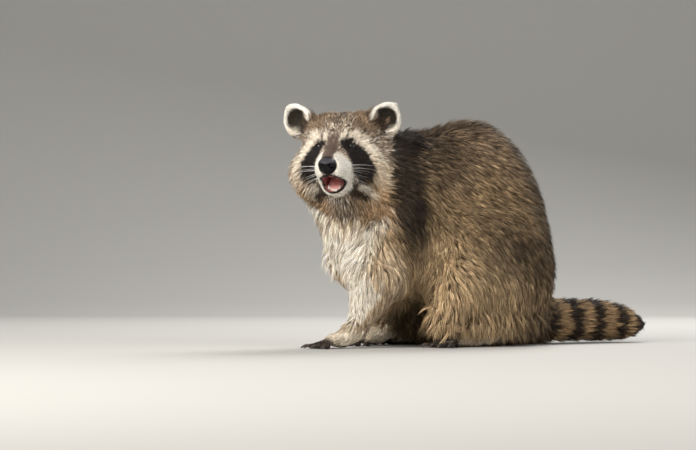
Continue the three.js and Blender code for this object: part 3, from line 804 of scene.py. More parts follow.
def finish_skin():
    h = to_head(skin.points)
    outer = skin.points + skin.normals * (skin.cover * 0.8)[:, None]
    shares = dyes_at(outer, skin.parts, skin.normals)
    weights = np.array([0.45, 0.4, 0.12, 0.03])
    colours = shares @ np.einsum("drc,r->dc", DYE_ROWS, weights)
    paint(skin.mesh, colours)
    pocket = mouth_depth(h)
    wet = ramp(pocket, -0.8, 0.8) * ramp(h[:, 0], 102, 98) * is_part(skin.parts, "head", "jaw")
    lips = ramp(pocket, -4.0, -2.8) * ramp(h[:, 0], 40, 52) * is_part(skin.parts, "head", "jaw")
    lids = np.zeros(len(h))
    for side in (1, -1):
        centre, look, _, _ = eye_frame(side)
        off = h - centre
        far = np.linalg.norm(off, axis=1)
        lids = np.maximum(lids, ramp(between_lids(side, off / far[:, None]), -0.24, -0.15) * ramp(far, 11, 9))
    nose = ramp(np.linalg.norm((h - NOSE_AT) / (8, 12.3, 11), axis=1), 1.12, 1.02)
    feet = is_part(skin.parts, "forepaw", "hind_foot")
    soles = feet * ramp(skin.points[:, 2], 4.5, 2.5)
    toes = is_part(skin.parts, "forepaw") * digits(skin.points, "forepaw", 0.7) * 0.85
    toes += is_part(skin.parts, "hind_foot") * digits(skin.points, "hind_foot", 0.7) * 0.5
    skin.bare = np.clip(np.maximum.reduce([wet, lips, lids, nose, soles, toes]), 0, 1)
    inner_mouth = (pocket > -2.2) & (h[:, 0] > 30) & (h[:, 0] < 104)
    skin.closed = np.maximum.reduce([wet, lips, lids, nose, soles, inner_mouth * 1.0])
    store_value(skin.mesh, "bare", skin.bare)
    store_value(skin.mesh, "wet", wet)
    skin.mesh.shade_smooth()
    return piece("skin", skin.mesh, skin_material(), "body_coat", *FLESH)


finish_skin()


# ---- The face's own pieces: eyes, nose, tongue, teeth, whiskers; and the claws ----
def mesh_from(bm, name, smooth=True):
    bmesh.ops.recalc_face_normals(bm, faces=bm.faces)
    mesh = bpy.data.meshes.new(name)
    bm.to_mesh(mesh)
    bm.free()
    if smooth:
        mesh.shade_smooth()
    return mesh


def put(bm, reshape):
    """Moves each vertex of a unit shape to its place, given in the head's millimetres."""
    points = np.array([v.co for v in bm.verts])
    for vertex, place in zip(bm.verts, from_head(reshape(points)) * MM):
        vertex.co = place


def eye_material():
    """A dark brown iris round a black pupil, under a wet, clear front."""
    made, tree, shader = new_material("wet_eye")
    gaze = attribute(tree, "gaze")
    flecks = node(tree, "ShaderNodeTexNoise", {"Vector": position(tree, 1.0), "Scale": 1800.0, "Detail": 2.0})
    iris = mixed(tree, flecks.outputs["Fac"], (0.004, 0.002, 0.0015), (0.012, 0.006, 0.003))
    pupil = maths(tree, "GREATER_THAN", gaze, 0.84)
    tree.links.new(mixed(tree, pupil, iris, (0.001, 0.001, 0.001)), shader.inputs["Base Color"])
    shader.inputs["Roughness"].default_value = 0.5
    shader.inputs["Specular IOR Level"].default_value = 0.0
    shader.inputs["Coat Weight"].default_value = 1.0
    shader.inputs["Coat Roughness"].default_value = 0.02
    return made


def make_eyes():
    horn = eye_material()
    for side, name in ((1, "eye_left"), (-1, "eye_right")):
        centre, look, _, _ = eye_frame(side)
        bm = bmesh.new()
        bmesh.ops.create_icosphere(bm, subdivisions=5, radius=1)
        gaze = np.array([v.co for v in bm.verts]) @ look
        swell = 1 + 0.02 * ramp(gaze, 0.5, 1.0)
        put(bm, lambda p: centre + p * ((EYE_RADIUS - 0.15) * swell)[:, None])
        mesh = mesh_from(bm, name + "_ball")
        store_value(mesh, "gaze", gaze)
        piece(name + "_ball", mesh, horn, "eye", name)


def nose_material():
    made, tree, shader = new_material("nose_leather")
    pebbles = node(tree, "ShaderNodeTexVoronoi", {"Vector": position(tree, 1.0), "Scale": 1500.0})
    tint = mixed(tree, pebbles.outputs["Distance"], (0.008, 0.0075, 0.008), (0.004, 0.004, 0.0045))
    # The top of the pad gets a lighter blue-grey base colour, a painted reflection of the sky; its specular level is
    # raised there too.
    top = mixed(tree, attribute(tree, "top"), tint, (0.045, 0.043, 0.052))
    tree.links.new(mixed(tree, attribute(tree, "hollow"), top, (0.001, 0.001, 0.001)), shader.inputs["Base Color"])
    shader.inputs["Roughness"].default_value = 0.36
    shine = maths(tree, "MULTIPLY", attribute(tree, "top"), 0.28)
    tree.links.new(maths(tree, "ADD", shine, 0.12), shader.inputs["Specular IOR Level"])
    bump = node(tree, "ShaderNodeBump", {"Height": pebbles.outputs["Distance"], "Strength": 0.35, "Distance": 0.0003})
    tree.links.new(bump.outputs[0], shader.inputs["Normal"])
    return made


def make_nose():
    """A broad pad, flat on top, with comma-shaped nostrils and a groove down the middle."""
    bm = bmesh.new()
    bmesh.ops.create_icosphere(bm, subdivisions=6, radius=1)
    p = np.array([v.co for v in bm.verts])
    planes = [
        ((1, 0, -0.1), 0.98), ((0.34, 0, 0.94), 0.74), ((0.15, 0, -1), 0.98), ((-1, 0, 0), 1), ((0, 1, 0.1), 1),
        ((0, -1, 0.1), 1), ((0, 0.75, 0.66), 0.98), ((0, -0.75, 0.66), 0.98), ((0.2, 0.75, -0.6), 0.97),
        ((0.2, -0.75, -0.6), 0.97), ((0.7, 0.7, 0.1), 1.0), ((0.7, -0.7, 0.1), 1.0),
    ]
    faced = np.stack([np.clip(p @ unit(np.array(way, float)), 0, None) / away for way, away in planes], 1)
    p = p / (faced ** 9).sum(1, keepdims=True) ** (1 / 9)
    x, y, z = p.T
    side = np.abs(y)
    round_hole = np.exp(-((side - 0.47) / 0.17) ** 2 - ((z + 0.02) / 0.19) ** 2) * ramp(x, 0.1, 0.5)
    slit = np.exp(-((side - 0.74) / 0.17) ** 2 - ((z + 0.22 + 0.25 * (side - 0.5)) / 0.085) ** 2) * ramp(x, -0.1, 0.3)
    hollow = np.clip(round_hole + 0.9 * slit, 0, 1)
    groove = np.exp(-(y / 0.05) ** 2) * ramp(z, 0.25, -0.2) * ramp(x, 0.2, 0.6)
    wings = np.exp(-((side - 0.62) / 0.2) ** 2 - ((z + 0.42) / 0.2) ** 2) * ramp(x, 0.0, 0.5)
    rise = 1 - 0.45 * hollow - 0.1 * groove + 0.05 * wings
    width = 12.2 * (1 + 0.16 * z)
    height = np.where(z > 0, 11.4, 10.4)
    shaped = np.stack([x * 8.0 - 1.5 * np.clip(z, 0, 1), y * width, z * height], 1) * rise[:, None]
    put(bm, lambda _: NOSE_AT + shaped)
    mesh = mesh_from(bm, "nose_pad")
    store_value(mesh, "hollow", ramp(hollow, 0.45, 0.8))
    # The top of the pad, where the sky's reflection is painted into the colour and the specular level is raised.
    store_value(mesh, "top", ramp(z, 0.2, 0.5))
    piece("nose_pad", mesh, nose_material(), "nose_skin", "nose")


def tongue_material():
    made, tree, shader = new_material("tongue_flesh")
    rough = node(tree, "ShaderNodeTexNoise", {"Vector": position(tree, 1.0), "Scale": 1400.0, "Detail": 3.0})
    tree.links.new(mixed(tree, rough.outputs["Fac"], (0.80, 0.33, 0.31), (0.95, 0.52, 0.48)), shader.inputs["Base Color"])
    shader.inputs["Roughness"].default_value = 0.38
    shader.inputs["Subsurface Weight"].default_value = 0.3
    shader.inputs["Subsurface Scale"].default_value = 0.003
    bump = node(tree, "ShaderNodeBump", {"Height": rough.outputs["Fac"], "Strength": 0.5, "Distance": 0.0005})
    tree.links.new(bump.outputs[0], shader.inputs["Normal"])
    return made


def make_tongue():
    """A broad tongue with a groove down the middle, lying along the lower jaw."""
    bm = bmesh.new()
    bmesh.ops.create_icosphere(bm, subdivisions=5, radius=1)

    def lay(p):
        x, y, z = p.T
        along = (x + 1) / 2
        bend = np.interp(along, [0, 0.25, 0.5, 0.75, 1], [-43.5, -43.5, -45.2, -49.3, -54.4])
        groove = 1.3 * np.exp(-(y / 0.22) ** 2) * ramp(z, 0, 0.5) * ramp(x, 0.95, 0.6)
        return np.stack([37 + 34.5 * along, y * 11.2 + MOUTH_SIDE, bend + z * 5.6 - groove - 1.0 * y * y], 1)

    put(bm, lay)
    piece("tongue_flesh", mesh_from(bm, "tongue_flesh"), tongue_material(), "tongue_flesh", "tongue")


def tooth_material():
    made, tree, shader = new_material("tooth_enamel")
    stain = node(tree, "ShaderNodeTexNoise", {"Vector": position(tree, 1.0), "Scale": 500.0})
    tree.links.new(mixed(tree, stain.outputs["Fac"], (0.72, 0.66, 0.58), (0.84, 0.79, 0.72)), shader.inputs["Base Color"])
    shader.inputs["Roughness"].default_value = 0.25
    return made


def make_teeth():
    """The lower front teeth, the canines that lean out and back, and the cheek teeth behind them."""
    front = [((71.2 - 0.1 * k * k, k * 1.1, -58.5), (71.8 - 0.1 * k * k, k * 1.15, -53.4), 1.4) for k in (-5, -3, -1, 1, 3, 5)]
    places = front + [((69.0, s * 6.3, -57.2), (67.0, s * 8.6, -48.8), 2.2) for s in (1, -1)]
    for k in range(5):
        back = 64 - 4.6 * k
        places += [((back, s * (8.0 + 0.4 * k), -56), (back, s * (8.8 + 0.4 * k), -49.5), 2.2) for s in (1, -1)]
    bm = bmesh.new()
    for root, tip, radius in places:
        root, tip = np.array(root) + (0, MOUTH_SIDE, 0), np.array(tip) + (0, MOUTH_SIDE, 0)
        made = bmesh.ops.create_icosphere(bm, subdivisions=3, radius=1)["verts"]
        for vertex in made:
            a, b, c = vertex.co
            share = (c + 1) / 2
            wide = radius * (1.15 - 0.5 * share ** 1.5)
            vertex.co = from_head((root + (tip - root) * share + (a * wide, b * wide, 0))[None])[0] * MM
    piece("lower_teeth", mesh_from(bm, "lower_teeth"), tooth_material(), "claw_horn")


def make_gums():
    """The pale gum that the lower teeth stand in, from one canine round to the other."""
    made, tree, shader = new_material("gum_flesh")
    mottle = node(tree, "ShaderNodeTexNoise", {"Vector": position(tree, 1.0), "Scale": 600.0})
    tint = mixed(tree, mottle.outputs["Fac"], (0.62, 0.33, 0.29), (0.86, 0.62, 0.55))
    tree.links.new(tint, shader.inputs["Base Color"])
    shader.inputs["Roughness"].default_value = 0.3
    bm = bmesh.new()
    for k in range(-12, 13):
        turn = k / 12 * 1.35
        place = np.array([58.6 + 11.9 * math.cos(turn), MOUTH_SIDE + 8.6 * math.sin(turn), -58.0 + 2.6 * (k / 12) ** 2])
        lump = bmesh.ops.create_icosphere(bm, subdivisions=2, radius=1)["verts"]
        for vertex in lump:
            vertex.co = from_head((place + np.array(vertex.co) * (1.5, 1.9, 2.4))[None])[0] * MM
    piece("lower_gums", mesh_from(bm, "lower_gums"), made, "tongue_flesh")


def claw_material():
    made, tree, shader = new_material("claw_horn")
    grain = node(tree, "ShaderNodeTexNoise", {"Vector": position(tree, 1.0), "Scale": 700.0, "Detail": 3.0})
    tree.links.new(mixed(tree, grain.outputs["Fac"], (0.02, 0.015, 0.012), (0.075, 0.055, 0.042)), shader.inputs["Base Color"])
    shader.inputs["Roughness"].default_value = 0.33
    bump = node(tree, "ShaderNodeBump", {"Height": grain.outputs["Fac"], "Strength": 0.3, "Distance": 0.0003})
    tree.links.new(bump.outputs[0], shader.inputs["Normal"])
    return made


def make_claws():
    """The claws, each rounded from its plain solid."""
    bm = bmesh.new()
    names = sorted(name for name in nodes if "claw" in name)
    for name in names:
        bm.from_mesh(nodes[name].data)
    bmesh.ops.remove_doubles(bm, verts=bm.verts, dist=2e-5)
    bmesh.ops.subdivide_edges(bm, edges=bm.edges, cuts=1, smooth=0.9, use_grid_fill=True)
    bmesh.ops.smooth_vert(bm, verts=bm.verts, factor=0.4, use_axis_x=True, use_axis_y=True, use_axis_z=True)
    piece("claws", mesh_from(bm, "claws"), claw_material(), "claw_horn", *names)


def make_toe_ends():
    """The bare last joint of each toe, from which its claw grows."""
    made, tree, shader = new_material("toe_skin")
    grain = node(tree, "ShaderNodeTexNoise", {"Vector": position(tree, 1.0), "Scale": 900.0, "Detail": 3.0})
    tree.links.new(mixed(tree, grain.outputs["Fac"], (0.012, 0.009, 0.008), (0.05, 0.038, 0.032)), shader.inputs["Base Color"])
    shader.inputs["Roughness"].default_value = 0.6
    shader.inputs["Specular IOR Level"].default_value = 0.25
    bump = node(tree, "ShaderNodeBump", {"Height": grain.outputs["Fac"], "Strength": 0.6, "Distance": 0.0004})
    tree.links.new(bump.outputs[0], shader.inputs["Normal"])
    bm = bmesh.new()
    for name in sorted(name for name in nodes if "claw" in name):
        foot = middle(name.replace("fore_claw", "forepaw").replace("hind_claw", "hind_foot")[:-2])
        points = np.array([v.co for v in nodes[name].data.vertices]) / MM
        reach = np.linalg.norm((points - foot)[:, :2], axis=1)
        base = points[reach < reach.min() + 2.5].mean(0)
        heading = unit((points[reach.argmax()] - base) * (1, 1, 0))
        across = np.array([-heading[1], heading[0], 0])
        joint = bmesh.ops.create_icosphere(bm, subdivisions=3, radius=1)["verts"]
        for vertex in joint:
            a, b, c = vertex.co
            place = base + heading * (6.6 * a - 4.8) + across * b * (3.3 - 0.7 * a)
            vertex.co = Vector((place[0], place[1], max(3.6 + c * (3.3 - 0.5 * a), 0.2))) * MM
    piece("toe_ends", mesh_from(bm, "toe_ends"), made, "paw_coat")


def hair_strand(bm, root, way, droop, length, radius):
    """One long stiff hair: a three-sided tapering rod from root along way, bending by droop."""
    steps = 9
    side = unit(np.cross(way, (0.13, 0.2, 1.0)))
    up = np.cross(side, way)
    last = None
    for k in range(steps + 1):
        s = k / steps
        place = root + way * length * s + droop * length * s * s
        thick = radius * (1 - 0.9 * s)
        ring = [
            bm.verts.new(from_head(place + thick * (side * math.cos(a) + up * math.sin(a))) * MM)
            for a in (0, 2.094, 4.189)
        ]
        if last:
            for i in range(3):
                bm.faces.new((last[i - 1], last[i], ring[i], ring[i - 1]))
        else:
            bm.faces.new(ring[::-1])
        last = ring
    bm.faces.new(last)


def make_whiskers():
    made, tree, shader = new_material("whisker_hair")
    shade = node(tree, "ShaderNodeTexNoise", {"Vector": position(tree, 1.0), "Scale": 60.0})
    tree.links.new(mixed(tree, shade.outputs["Fac"], (0.62, 0.58, 0.54), (0.95, 0.93, 0.9)), shader.inputs["Base Color"])
    shader.inputs["Roughness"].default_value = 0.35
    own = np.random.default_rng(31)
    bm = bmesh.new()
    for side in (1, -1):
        for row in range(4):
            for k in range(3):
                root = np.array([82 - 4.6 * k - row, side * (13.6 + 0.5 * k - 0.4 * row), -25 - 4.2 * row + 0.4 * k])
                way = unit(np.array([0.10 - 0.22 * k, side * 0.95, 0.16 - 0.13 * row + own.normal(0, 0.05)]))
                droop = np.array([-0.25, side * 0.02, -0.22])
                hair_strand(bm, root, way, droop, own.uniform(36, 56) - 4 * row, 0.24)
        for k in range(4):
            root = np.array([47 - k, side * (17 + 3 * k), 11.0 + 0.4 * k])
            way = unit(np.array([0.75, side * (0.2 + 0.15 * k), 0.55]))
            hair_strand(bm, root, way, np.array([-0.3, side * 0.2, 0.1]), own.uniform(16, 24), 0.14)
    for k in range(6):
        root = np.array([74 - 2.0 * k, (k % 3 - 1) * 5.0, -64 - 0.4 * k])
        way = unit(np.array([0.35, own.normal(0, 0.3), -0.8]))
        hair_strand(bm, root, way, np.array([-0.3, 0, -0.05]), own.uniform(9, 15), 0.13)
    piece("whiskers", mesh_from(bm, "whiskers"), made, "face_coat")


make_eyes()
make_nose()
make_tongue()
make_teeth()
make_gums()
make_claws()
make_toe_ends()
make_whiskers()


# ---- The coat: tufts of thin tapering blades, rooted in the skin and lying the way the hair lies ----
def lie_of_hair():
    """The way the hair lies at each point of the skin, along its surface."""
    h, b, n = to_head(skin.points), to_body(skin.points), skin.normals
    parts = skin.parts
    x, y, z = b.T
    level = ramp(z, 50, 230)
    way = np.stack([-0.25 - 0.95 * level, 0 * x, -0.35 - 1.0 * np.abs(n[:, 1])], 1)
    low_front = ramp(z, 190, 110) * ramp(x, -10, 40)
    way[:, 0] += 0.25 * low_front
    fore = is_part(parts, "neck", "upper_arm", "forearm") | (is_part(parts, "trunk") & (x > 112))
    away = unit(skin.points - from_head(np.array([60.0, 0, -20]))) * 0.9 + (0, 0, -0.9)
    way = np.where(fore[:, None], away, way)
    wrist = np.stack([0.12 + 0.7 * ramp(z, 48, 24), 0 * x, -1 + 0 * x], 1)
    way = np.where(is_part(parts, "forearm")[:, None], wrist, way)
    toes = digits(skin.points, "forepaw", 0.4) + digits(skin.points, "hind_foot", 0.55)
    foot_way = np.stack([0.35 + 0.65 * toes, 0 * x, -1.0 + 0.75 * toes], 1)
    way = np.where(is_part(parts, "forepaw", "hind_foot")[:, None], foot_way, way)
    way = unit(way)
    sway = np.stack([ripple(skin.points, 70, 20 + axis) for axis in range(3)], 1)
    way += 0.22 * sway * is_part(parts, "trunk", "thigh", "neck", "upper_arm")[:, None]
    way = np.where((is_part(parts, "tail") & (x < -120))[:, None], np.array([-1.0, 0, -0.02]), way)
    hx, hy, hz = h.T
    over_face = unit(h - (92, 0, -20))
    over_face[:, 2] -= 0.45 * ramp(np.abs(hy), 22, 48) * ramp(hz, 20, -20)
    chin = unit(h - (92, 0, -58))
    over_face = np.where((hz < -48)[:, None], chin + (-0.5, 0, -0.5), over_face)
    way = np.where(is_part(parts, "head", "jaw")[:, None], over_face @ HEAD_AXES.T, way)
    spread = np.where(hy > 0, 58, -64)
    up_ear = unit(np.stack([hx * 0, hy - spread * 0.62, hz - 14], 1))
    way = np.where(is_part(parts, "ear")[:, None], up_ear @ HEAD_AXES.T, way)
    for _ in range(3):
        way = unit(way - n * (way * n).sum(1, keepdims=True))
        way = skin.web.smoothed(way, 6)
    return unit(way - n * (way * n).sum(1, keepdims=True))


def unwrap_skin():
    """An unwrap of the skin's own shape, as a place on the map for each corner of its faces."""
    holder = bpy.data.objects["skin"]
    bpy.context.view_layer.objects.active = holder
    holder.select_set(True)
    skin.mesh.uv_layers.new(name="OFBake")
    bpy.ops.object.mode_set(mode="EDIT")
    bpy.ops.mesh.select_all(action="SELECT")
    bpy.ops.uv.smart_project(angle_limit=math.radians(66), island_margin=0.004)
    bpy.ops.object.mode_set(mode="OBJECT")
    holder.select_set(False)
    return read(skin.mesh.uv_layers["OFBake"].uv, "vector", 2)


# Each kind of coat: how long the hair is, how wide a blade, how many in a tuft, how far apart the tufts
# grow, how wide a tuft is at its root, how much it closes to its tip, and the steps along a blade.
COATS = {
    "trunk": dict(length=27, width=0.74, blades=12, area=9.6, tuft=2.4, close=0.5, steps=2),
    "thigh": dict(length=27, width=0.74, blades=12, area=9.6, tuft=2.3, close=0.5, steps=2),
    "neck": dict(length=33, width=0.8, blades=12, area=9, tuft=2.3, close=0.55, steps=2),
    "upper_arm": dict(length=30, width=0.74, blades=12, area=8.5, tuft=2.2, close=0.55, steps=2),
    "forearm": dict(length=22, width=0.66, blades=11, area=7, tuft=1.8, close=0.5, steps=2),
    "tail": dict(length=25, width=0.9, blades=12, area=8.6, tuft=2.2, close=0.45, steps=2),
    "forepaw": dict(length=8, width=0.6, blades=6, area=4, tuft=1.3, close=0.4, steps=2),
    "hind_foot": dict(length=9, width=0.65, blades=6, area=5.5, tuft=1.5, close=0.4, steps=2),
    "ear": dict(length=7, width=0.36, blades=9, area=2.3, tuft=1.0, close=0.3, steps=2),
    "head": dict(length=9, width=0.5, blades=7, area=2.9, tuft=1.2, close=0.4, steps=2),
    "muzzle": dict(length=5, width=0.3, blades=8, area=1.35, tuft=0.9, close=0.3, steps=2),
}
COATS["jaw"] = COATS["head"]
PATCH = 0.003


def length_of_hair(points, parts, cover):
    """The hair's length at each place."""
    length = np.array([COATS[name]["length"] for name in PARTS], float)[parts]
    x, y, z = to_head(points).T
    face = 4.6 + 5.1 * ramp(x, 70, 30) + 9 * ramp(x, 25, -25)
    face += 14 * ramp(np.abs(y), 24, 46) * ramp(x, 45, 12) * ramp(z, 16, -18)
    face += 12 * ramp(z, -50, -76) * ramp(x, 74, 40)
    length = np.where(is_part(parts, "head", "jaw"), face, length)
    rim = is_part(parts, "ear") * ramp(np.hypot(np.abs(y) - 61, z - 33.5), 14, 20)
    length += 2.2 * rim
    height = points[:, 2]
    long_foot = ramp(height, 9, 20) * (1 - digits(points, "hind_foot", 0.6))
    length += is_part(parts, "hind_foot") * 17 * long_foot
    length += is_part(parts, "forepaw") * 8 * ramp(height, 15, 28)
    length += is_part(parts, "thigh", "trunk", "upper_arm") * 14 * ramp(height, 115, 55)
    b = to_body(points)
    length += is_part(parts, "trunk") * 22 * ramp(b[:, 0], 25, 50) * ramp(height, 110, 85) * ramp(np.abs(b[:, 1]), 72, 52)
    length -= is_part(parts, "forearm") * 7 * ramp(height, 60, 30)
    return np.maximum(length, cover * 1.15)


def loft(points, parts):
    """How far the hair stands out beyond the coat's usual depth: on the crown and on the ruff's far side."""
    x, y, z = to_head(points).T
    side = np.abs(y)
    crown = 5 * ramp(side, 8, 22) * ramp(side, 62, 50) * ramp(z, 18, 27) * ramp(x, -28, -5) * ramp(x, 34, 20)
    ruff = 14 * ramp(-y, 24, 44) * ramp(z, -6, -38) * ramp(z, -125, -85) * ramp(x, 62, 40)
    return crown * is_part(parts, "head") + ruff * is_part(parts, "head", "jaw", "neck")


def grow(name, chosen, kind, seed, thin=1.0, fullness=1.0):
    """The tufts of one stretch of skin as one piece. chosen marks the skin's points that it grows on."""
    made = np.random.default_rng(seed)
    coat = COATS[kind]
    corners = skin.triangles[chosen[skin.triangles].sum(1) >= 2]
    loops = skin.triangle_loops[chosen[skin.triangles].sum(1) >= 2]
    a, b, c = (skin.points[corners[:, k]] for k in range(3))
    area = np.linalg.norm(np.cross(b - a, c - a), axis=1) / 2
    area *= 1 - skin.closed[corners].mean(1)
    total = np.cumsum(area)
    count = int(total[-1] / (coat["area"] * thin))
    pick = np.searchsorted(total, (np.arange(count) + made.random(count)) / count * total[-1])
    pick = np.minimum(pick, len(corners) - 1)
    r = made.random((count, 2))
    r = np.where(r.sum(1, keepdims=True) > 1, 1 - r, r)
    weights = np.stack([1 - r.sum(1), r[:, 0], r[:, 1]], 1)[:, :, None]

    def at_root(values):
        return (values[corners[pick]] * weights).sum(1)

    place, normal, way = at_root(skin.points), unit(at_root(skin.normals)), unit(at_root(skin.way))
    cover = (skin.cover[corners[pick]] * weights[:, :, 0]).sum(1)
    parts = skin.parts[corners[pick, 0]]
    map_place = (skin.map[loops[pick]] * weights).sum(1)

    # A guide runs from each root along the skin; the tuft's blades follow it at their own heights.
    lofted = loft(place, parts)
    hair = length_of_hair(place, parts, cover) * made.uniform(0.85, 1.12, count) + lofted
    guide, normals, covers = [place], [normal], [cover]
    waver = {"trunk": 0.27, "thigh": 0.27, "ear": 0.1}.get(kind, 0.2)
    heading = way + waver * made.normal(size=(count, 3))
    hang = is_part(parts, "thigh", "trunk") * ramp(place[:, 2], 80, 55) * ramp(normal[:, 2], 0.5, 0.2)
    face_place = to_head(place)
    hang += 0.5 * is_part(parts, "ear") * ramp(np.hypot(np.abs(face_place[:, 1]) - 61, face_place[:, 2] - 33.5), 15, 19)
    hang = hang[:, None]
    droop = (0, 0, -0.25) * ~is_part(parts, "ear")[:, None]
    for _ in range(3):
        ahead = guide[-1] + unit(heading) * (hair / 3.3)[:, None]
        found = [skin.tree.find_nearest(Vector(p)) for p in ahead * MM]
        face = np.array([f[2] for f in found])
        guide.append(np.array([f[0][:] for f in found]) / MM * (1 - hang) + ahead * hang)
        normals.append(unit(skin.face_normals[face] * (1 - hang) + normals[-1] * hang))
        covers.append(skin.face_cover[face])
        along_skin = skin.face_way[face] * 0.8 + 0.2 * unit(heading)
        heading = along_skin * (1 - hang) + (unit(heading) + droop) * hang
    guide, normals, covers = np.stack(guide, 1), np.stack(normals, 1), np.stack(covers, 1)
    stand = np.where(is_part(parts, "trunk", "thigh"), 0.75, 0.62)
    tall = np.minimum(np.maximum(covers.max(1), 1.1), stand * hair) + 0.8 * lofted

    blades, steps = coat["blades"], coat["steps"]
    shape = (count, blades)
    spin, off = made.uniform(0, 2 * math.pi, shape), np.sqrt(made.random(shape)) * coat["tuft"]
    reach = made.uniform(0.72, 1.05, shape)
    height = tall[:, None] * made.uniform(0.62, 1.0, count)[:, None] * made.uniform(0.82, 1.08, shape) * fullness
    close = coat["close"] * made.uniform(0.6, 1.3, shape)
    curl = made.normal(0, 0.045, shape) * hair[:, None]
    roll = made.normal(0, 0.5, shape)
    rows = np.array([0, 0.45, 0.8, 1]) if steps == 3 else np.array([0, 0.6, 1])
    points = []
    for s in rows:
        t = np.clip(s * reach * 3, 0, 2.9999)
        k, f = t.astype(int), (t % 1)[:, :, None]
        index = np.arange(count)[:, None]
        base = guide[index, k] * (1 - f) + guide[index, k + 1] * f
        up = unit(normals[index, k] * (1 - f) + normals[index, k + 1] * f)
        forward = unit(guide[index, k + 1] - guide[index, k])
        across = unit(np.cross(up, forward))
        gather = 1 - close * s
        rise = height * (1 - (1 - s) ** 1.7) - 0.4
        spot = base + up * rise[:, :, None] + across * (np.cos(spin) * off * gather + curl * s * s)[:, :, None]
        spot = spot + forward * (np.sin(spin) * off * gather)[:, :, None]
        tilt = np.cos(roll)[:, :, None] * across + np.sin(roll)[:, :, None] * up
        points.append((spot, tilt))
    profile = np.interp(rows, [0, 0.4, 0.75, 1], [0.8, 1.0, 0.75, 0])
    wide = coat["width"] * made.uniform(0.75, 1.2, shape)[:, :, None] / 2
    lines = []
    for (spot, tilt), share in zip(points[:-1], profile[:-1]):
        lines += [spot - tilt * wide * share, spot + tilt * wide * share]
    lines.append(points[-1][0])
    vertices = np.stack(lines, 2).reshape(-1, 3)
    vertices[:, 2] = np.maximum(vertices[:, 2], 0.25)

    # The colours, from the dyes at the place where the tuft shows.
    seen = guide[:, 2] + normals[:, 2] * (tall * 0.8)[:, None] + made.normal(0, 0.7, (count, 3))
    shares = dyes_at(seen, parts, normals[:, 1])
    flecked = shares[:, DYE_NAMES.index("brow")]
    fleck = made.random(count)
    clump = 0.2 + 0.12 * ripple(seen, 9, 30)
    pale, deep = flecked * (fleck < clump) * 0.85, flecked * (fleck > 1 - clump) * 0.8
    for dye, share in (("cream", pale), ("dark", deep)):
        shares = shares * (1 - share[:, None])
        shares[:, DYE_NAMES.index(dye)] += share
    bands = np.einsum("nd,drc->nrc", shares, DYE_ROWS)[:, None]
    bands = np.broadcast_to(bands, (count, blades, 4, 3)).copy()
    luck = made.random(shape)
    bands[luck < 0.25, 2:] = bands[luck < 0.25, 1:2] * 0.8
    bands[luck > 0.8, 3] = bands[luck > 0.8, 2]
    spread = 0.13 if kind in ("ear", "head", "muzzle") else 0.22
    shade = np.exp(made.normal(0, 0.18, shape)) * np.exp(made.normal(0, spread, count))[:, None]
    shade *= 1 + 0.10 * ripple(seen, 22, 6)[:, None]
    bands *= shade[:, :, None, None]
    dye_rows = np.array([0, 1, 2, 3]) if steps == 3 else np.array([0.4, 1.9, 3])
    low = np.minimum(dye_rows.astype(int), 2)
    part_way = (dye_rows - low)[None, None, :, None]
    colours = bands[:, :, low] * (1 - part_way) + bands[:, :, low + 1] * part_way
    pairs = np.repeat(colours, 2, axis=2)[:, :, : 2 * steps + 1]
    colours = np.clip(pairs.reshape(-1, 3), 0, 1)

    # Faces: quads up each blade and a triangle at its tip.
    per = 2 * steps + 1
    first = np.arange(count * blades)[:, None] * per
    quads = [first + (2 * k, 2 * k + 1, 2 * k + 3, 2 * k + 2) for k in range(steps - 1)]
    tips = first + (per - 3, per - 2, per - 1)
    loop_vertex = np.concatenate([*quads, tips], 1)
    sizes = np.array([4] * (steps - 1) + [3])
    starts = np.arange(count * blades)[:, None] * sizes.sum() + np.concatenate([[0], np.cumsum(sizes)[:-1]])

    u = (np.arange(blades)[None, :, None] + np.array([0.1, 0.9] * steps + [0.5])[None, None]) / blades - 0.5
    v = np.repeat(rows, 2)[: per] - 0.5
    u = map_place[:, None, None, 0] + PATCH * np.broadcast_to(u, (count, blades, per))
    v = map_place[:, None, None, 1] + PATCH * np.broadcast_to(v, (count, blades, per))
    maps = np.stack([u, v], 3).reshape(-1, 2)

    mesh = bpy.data.meshes.new(name)
    mesh.vertices.add(len(vertices))
    mesh.vertices.foreach_set("co", (vertices * MM).ravel())
    mesh.loops.add(loop_vertex.size)
    mesh.loops.foreach_set("vertex_index", loop_vertex.ravel())
    mesh.polygons.add(starts.size)
    mesh.polygons.foreach_set("loop_start", starts.ravel())
    mesh.update(calc_edges=True)
    mesh.shade_smooth()
    paint(mesh, colours)
    layer = mesh.uv_layers.new(name="OFBake")
    layer.uv.foreach_set("vector", maps[loop_vertex.ravel()].ravel())
    print(name, count, "tufts", count * blades * (2 * steps - 1), "triangles")
    return mesh


def fur_material(name, sheen):
    """Hair: its own dye, mottled, with a soft sheen."""
    made, tree, shader = new_material(name)
    colour, height = grained(tree, dye_node(tree), 160.0, 0.35)
    tree.links.new(colour, shader.inputs["Base Color"])
    shader.inputs["Roughness"].default_value = 0.62
    shader.inputs["Specular IOR Level"].default_value = 0.2
    shader.inputs["Sheen Weight"].default_value = sheen
    shader.inputs["Sheen Roughness"].default_value = 0.5
    return made


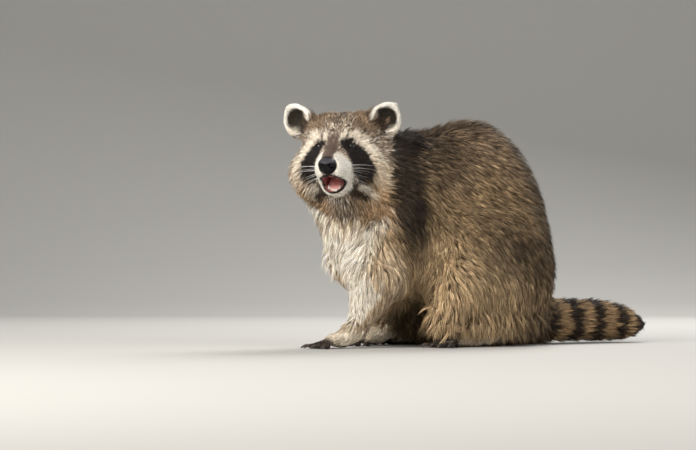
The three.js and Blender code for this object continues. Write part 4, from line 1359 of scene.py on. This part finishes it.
def prepare_skin_for_hair():
    skin.way = lie_of_hair()
    corner_maps = unwrap_skin()
    skin.mesh.calc_loop_triangles()
    skin.triangles = read(skin.mesh.loop_triangles, "vertices", 3, int)
    skin.triangle_loops = read(skin.mesh.loop_triangles, "loops", 3, int)
    skin.map = corner_maps
    bm = bmesh.new()
    bm.from_mesh(skin.mesh)
    skin.tree = BVHTree.FromBMesh(bm)
    bm.free()
    owner = np.repeat(np.arange(len(skin.mesh.polygons)), read(skin.mesh.polygons, "loop_total", 1, int)[:, 0])
    corner = read(skin.mesh.loops, "vertex_index", 1, int)[:, 0]
    share = np.bincount(owner)[:, None]

    def face_mean(values):
        return np.stack([np.bincount(owner, column[corner]) for column in values.T], 1) / share

    skin.face_normals = unit(face_mean(skin.normals))
    skin.face_way = unit(face_mean(skin.way))
    skin.face_cover = face_mean(skin.cover[:, None])[:, 0]


def grow_coat():
    body = to_body(skin.points)
    head = to_head(skin.points)
    parts = skin.parts
    left = body[:, 1] > 0
    on_trunk, on_head = is_part(parts, "trunk"), is_part(parts, "head", "jaw")
    rear = body[:, 0] < 20
    cheek = on_head & (head[:, 0] < 40) & (np.abs(head[:, 1]) > 27) & (head[:, 2] < 24)
    cheek |= on_head & (head[:, 2] < -58)
    muzzle = on_head & ~cheek & (head[:, 0] > 54) & (np.abs(head[:, 1]) < 26)
    stretches = [
        ("coat_flank_left", on_trunk & left & ~rear, "trunk"),
        ("coat_flank_right", on_trunk & ~left & ~rear, "trunk"),
        ("coat_rump_left", on_trunk & left & rear, "trunk"),
        ("coat_rump_right", on_trunk & ~left & rear, "trunk"),
        ("coat_thigh_left", is_part(parts, "thigh") & left, "thigh"),
        ("coat_thigh_right", is_part(parts, "thigh") & ~left, "thigh"),
        ("coat_neck", is_part(parts, "neck"), "neck"),
        ("coat_arms", is_part(parts, "upper_arm"), "upper_arm"),
        ("coat_forearms", is_part(parts, "forearm"), "forearm"),
        ("coat_tail", is_part(parts, "tail"), "tail"),
        ("coat_forepaws", is_part(parts, "forepaw"), "forepaw"),
        ("coat_hind_feet", is_part(parts, "hind_foot"), "hind_foot"),
        ("coat_ears", is_part(parts, "ear"), "ear"),
        ("coat_cheeks", cheek, "head"),
        ("coat_face", on_head & ~cheek & ~muzzle, "head"),
        ("coat_muzzle", muzzle, "muzzle"),
    ]
    slots = {"tail": "tail_coat", "ear": "ear_coat", "head": "face_coat", "muzzle": "face_coat", "forepaw": "paw_coat", "hind_foot": "paw_coat"}
    long_fur, short_fur = fur_material("long_fur", 0.06), fur_material("short_fur", 0.05)
    for seed, (name, chosen, kind) in enumerate(stretches):
        mesh = grow(name, chosen, kind, 400 + seed)
        short = kind in ("ear", "head", "muzzle", "forepaw", "hind_foot")
        piece(name, mesh, short_fur if short else long_fur, slots.get(kind, "body_coat"))


prepare_skin_for_hair()
grow_coat()
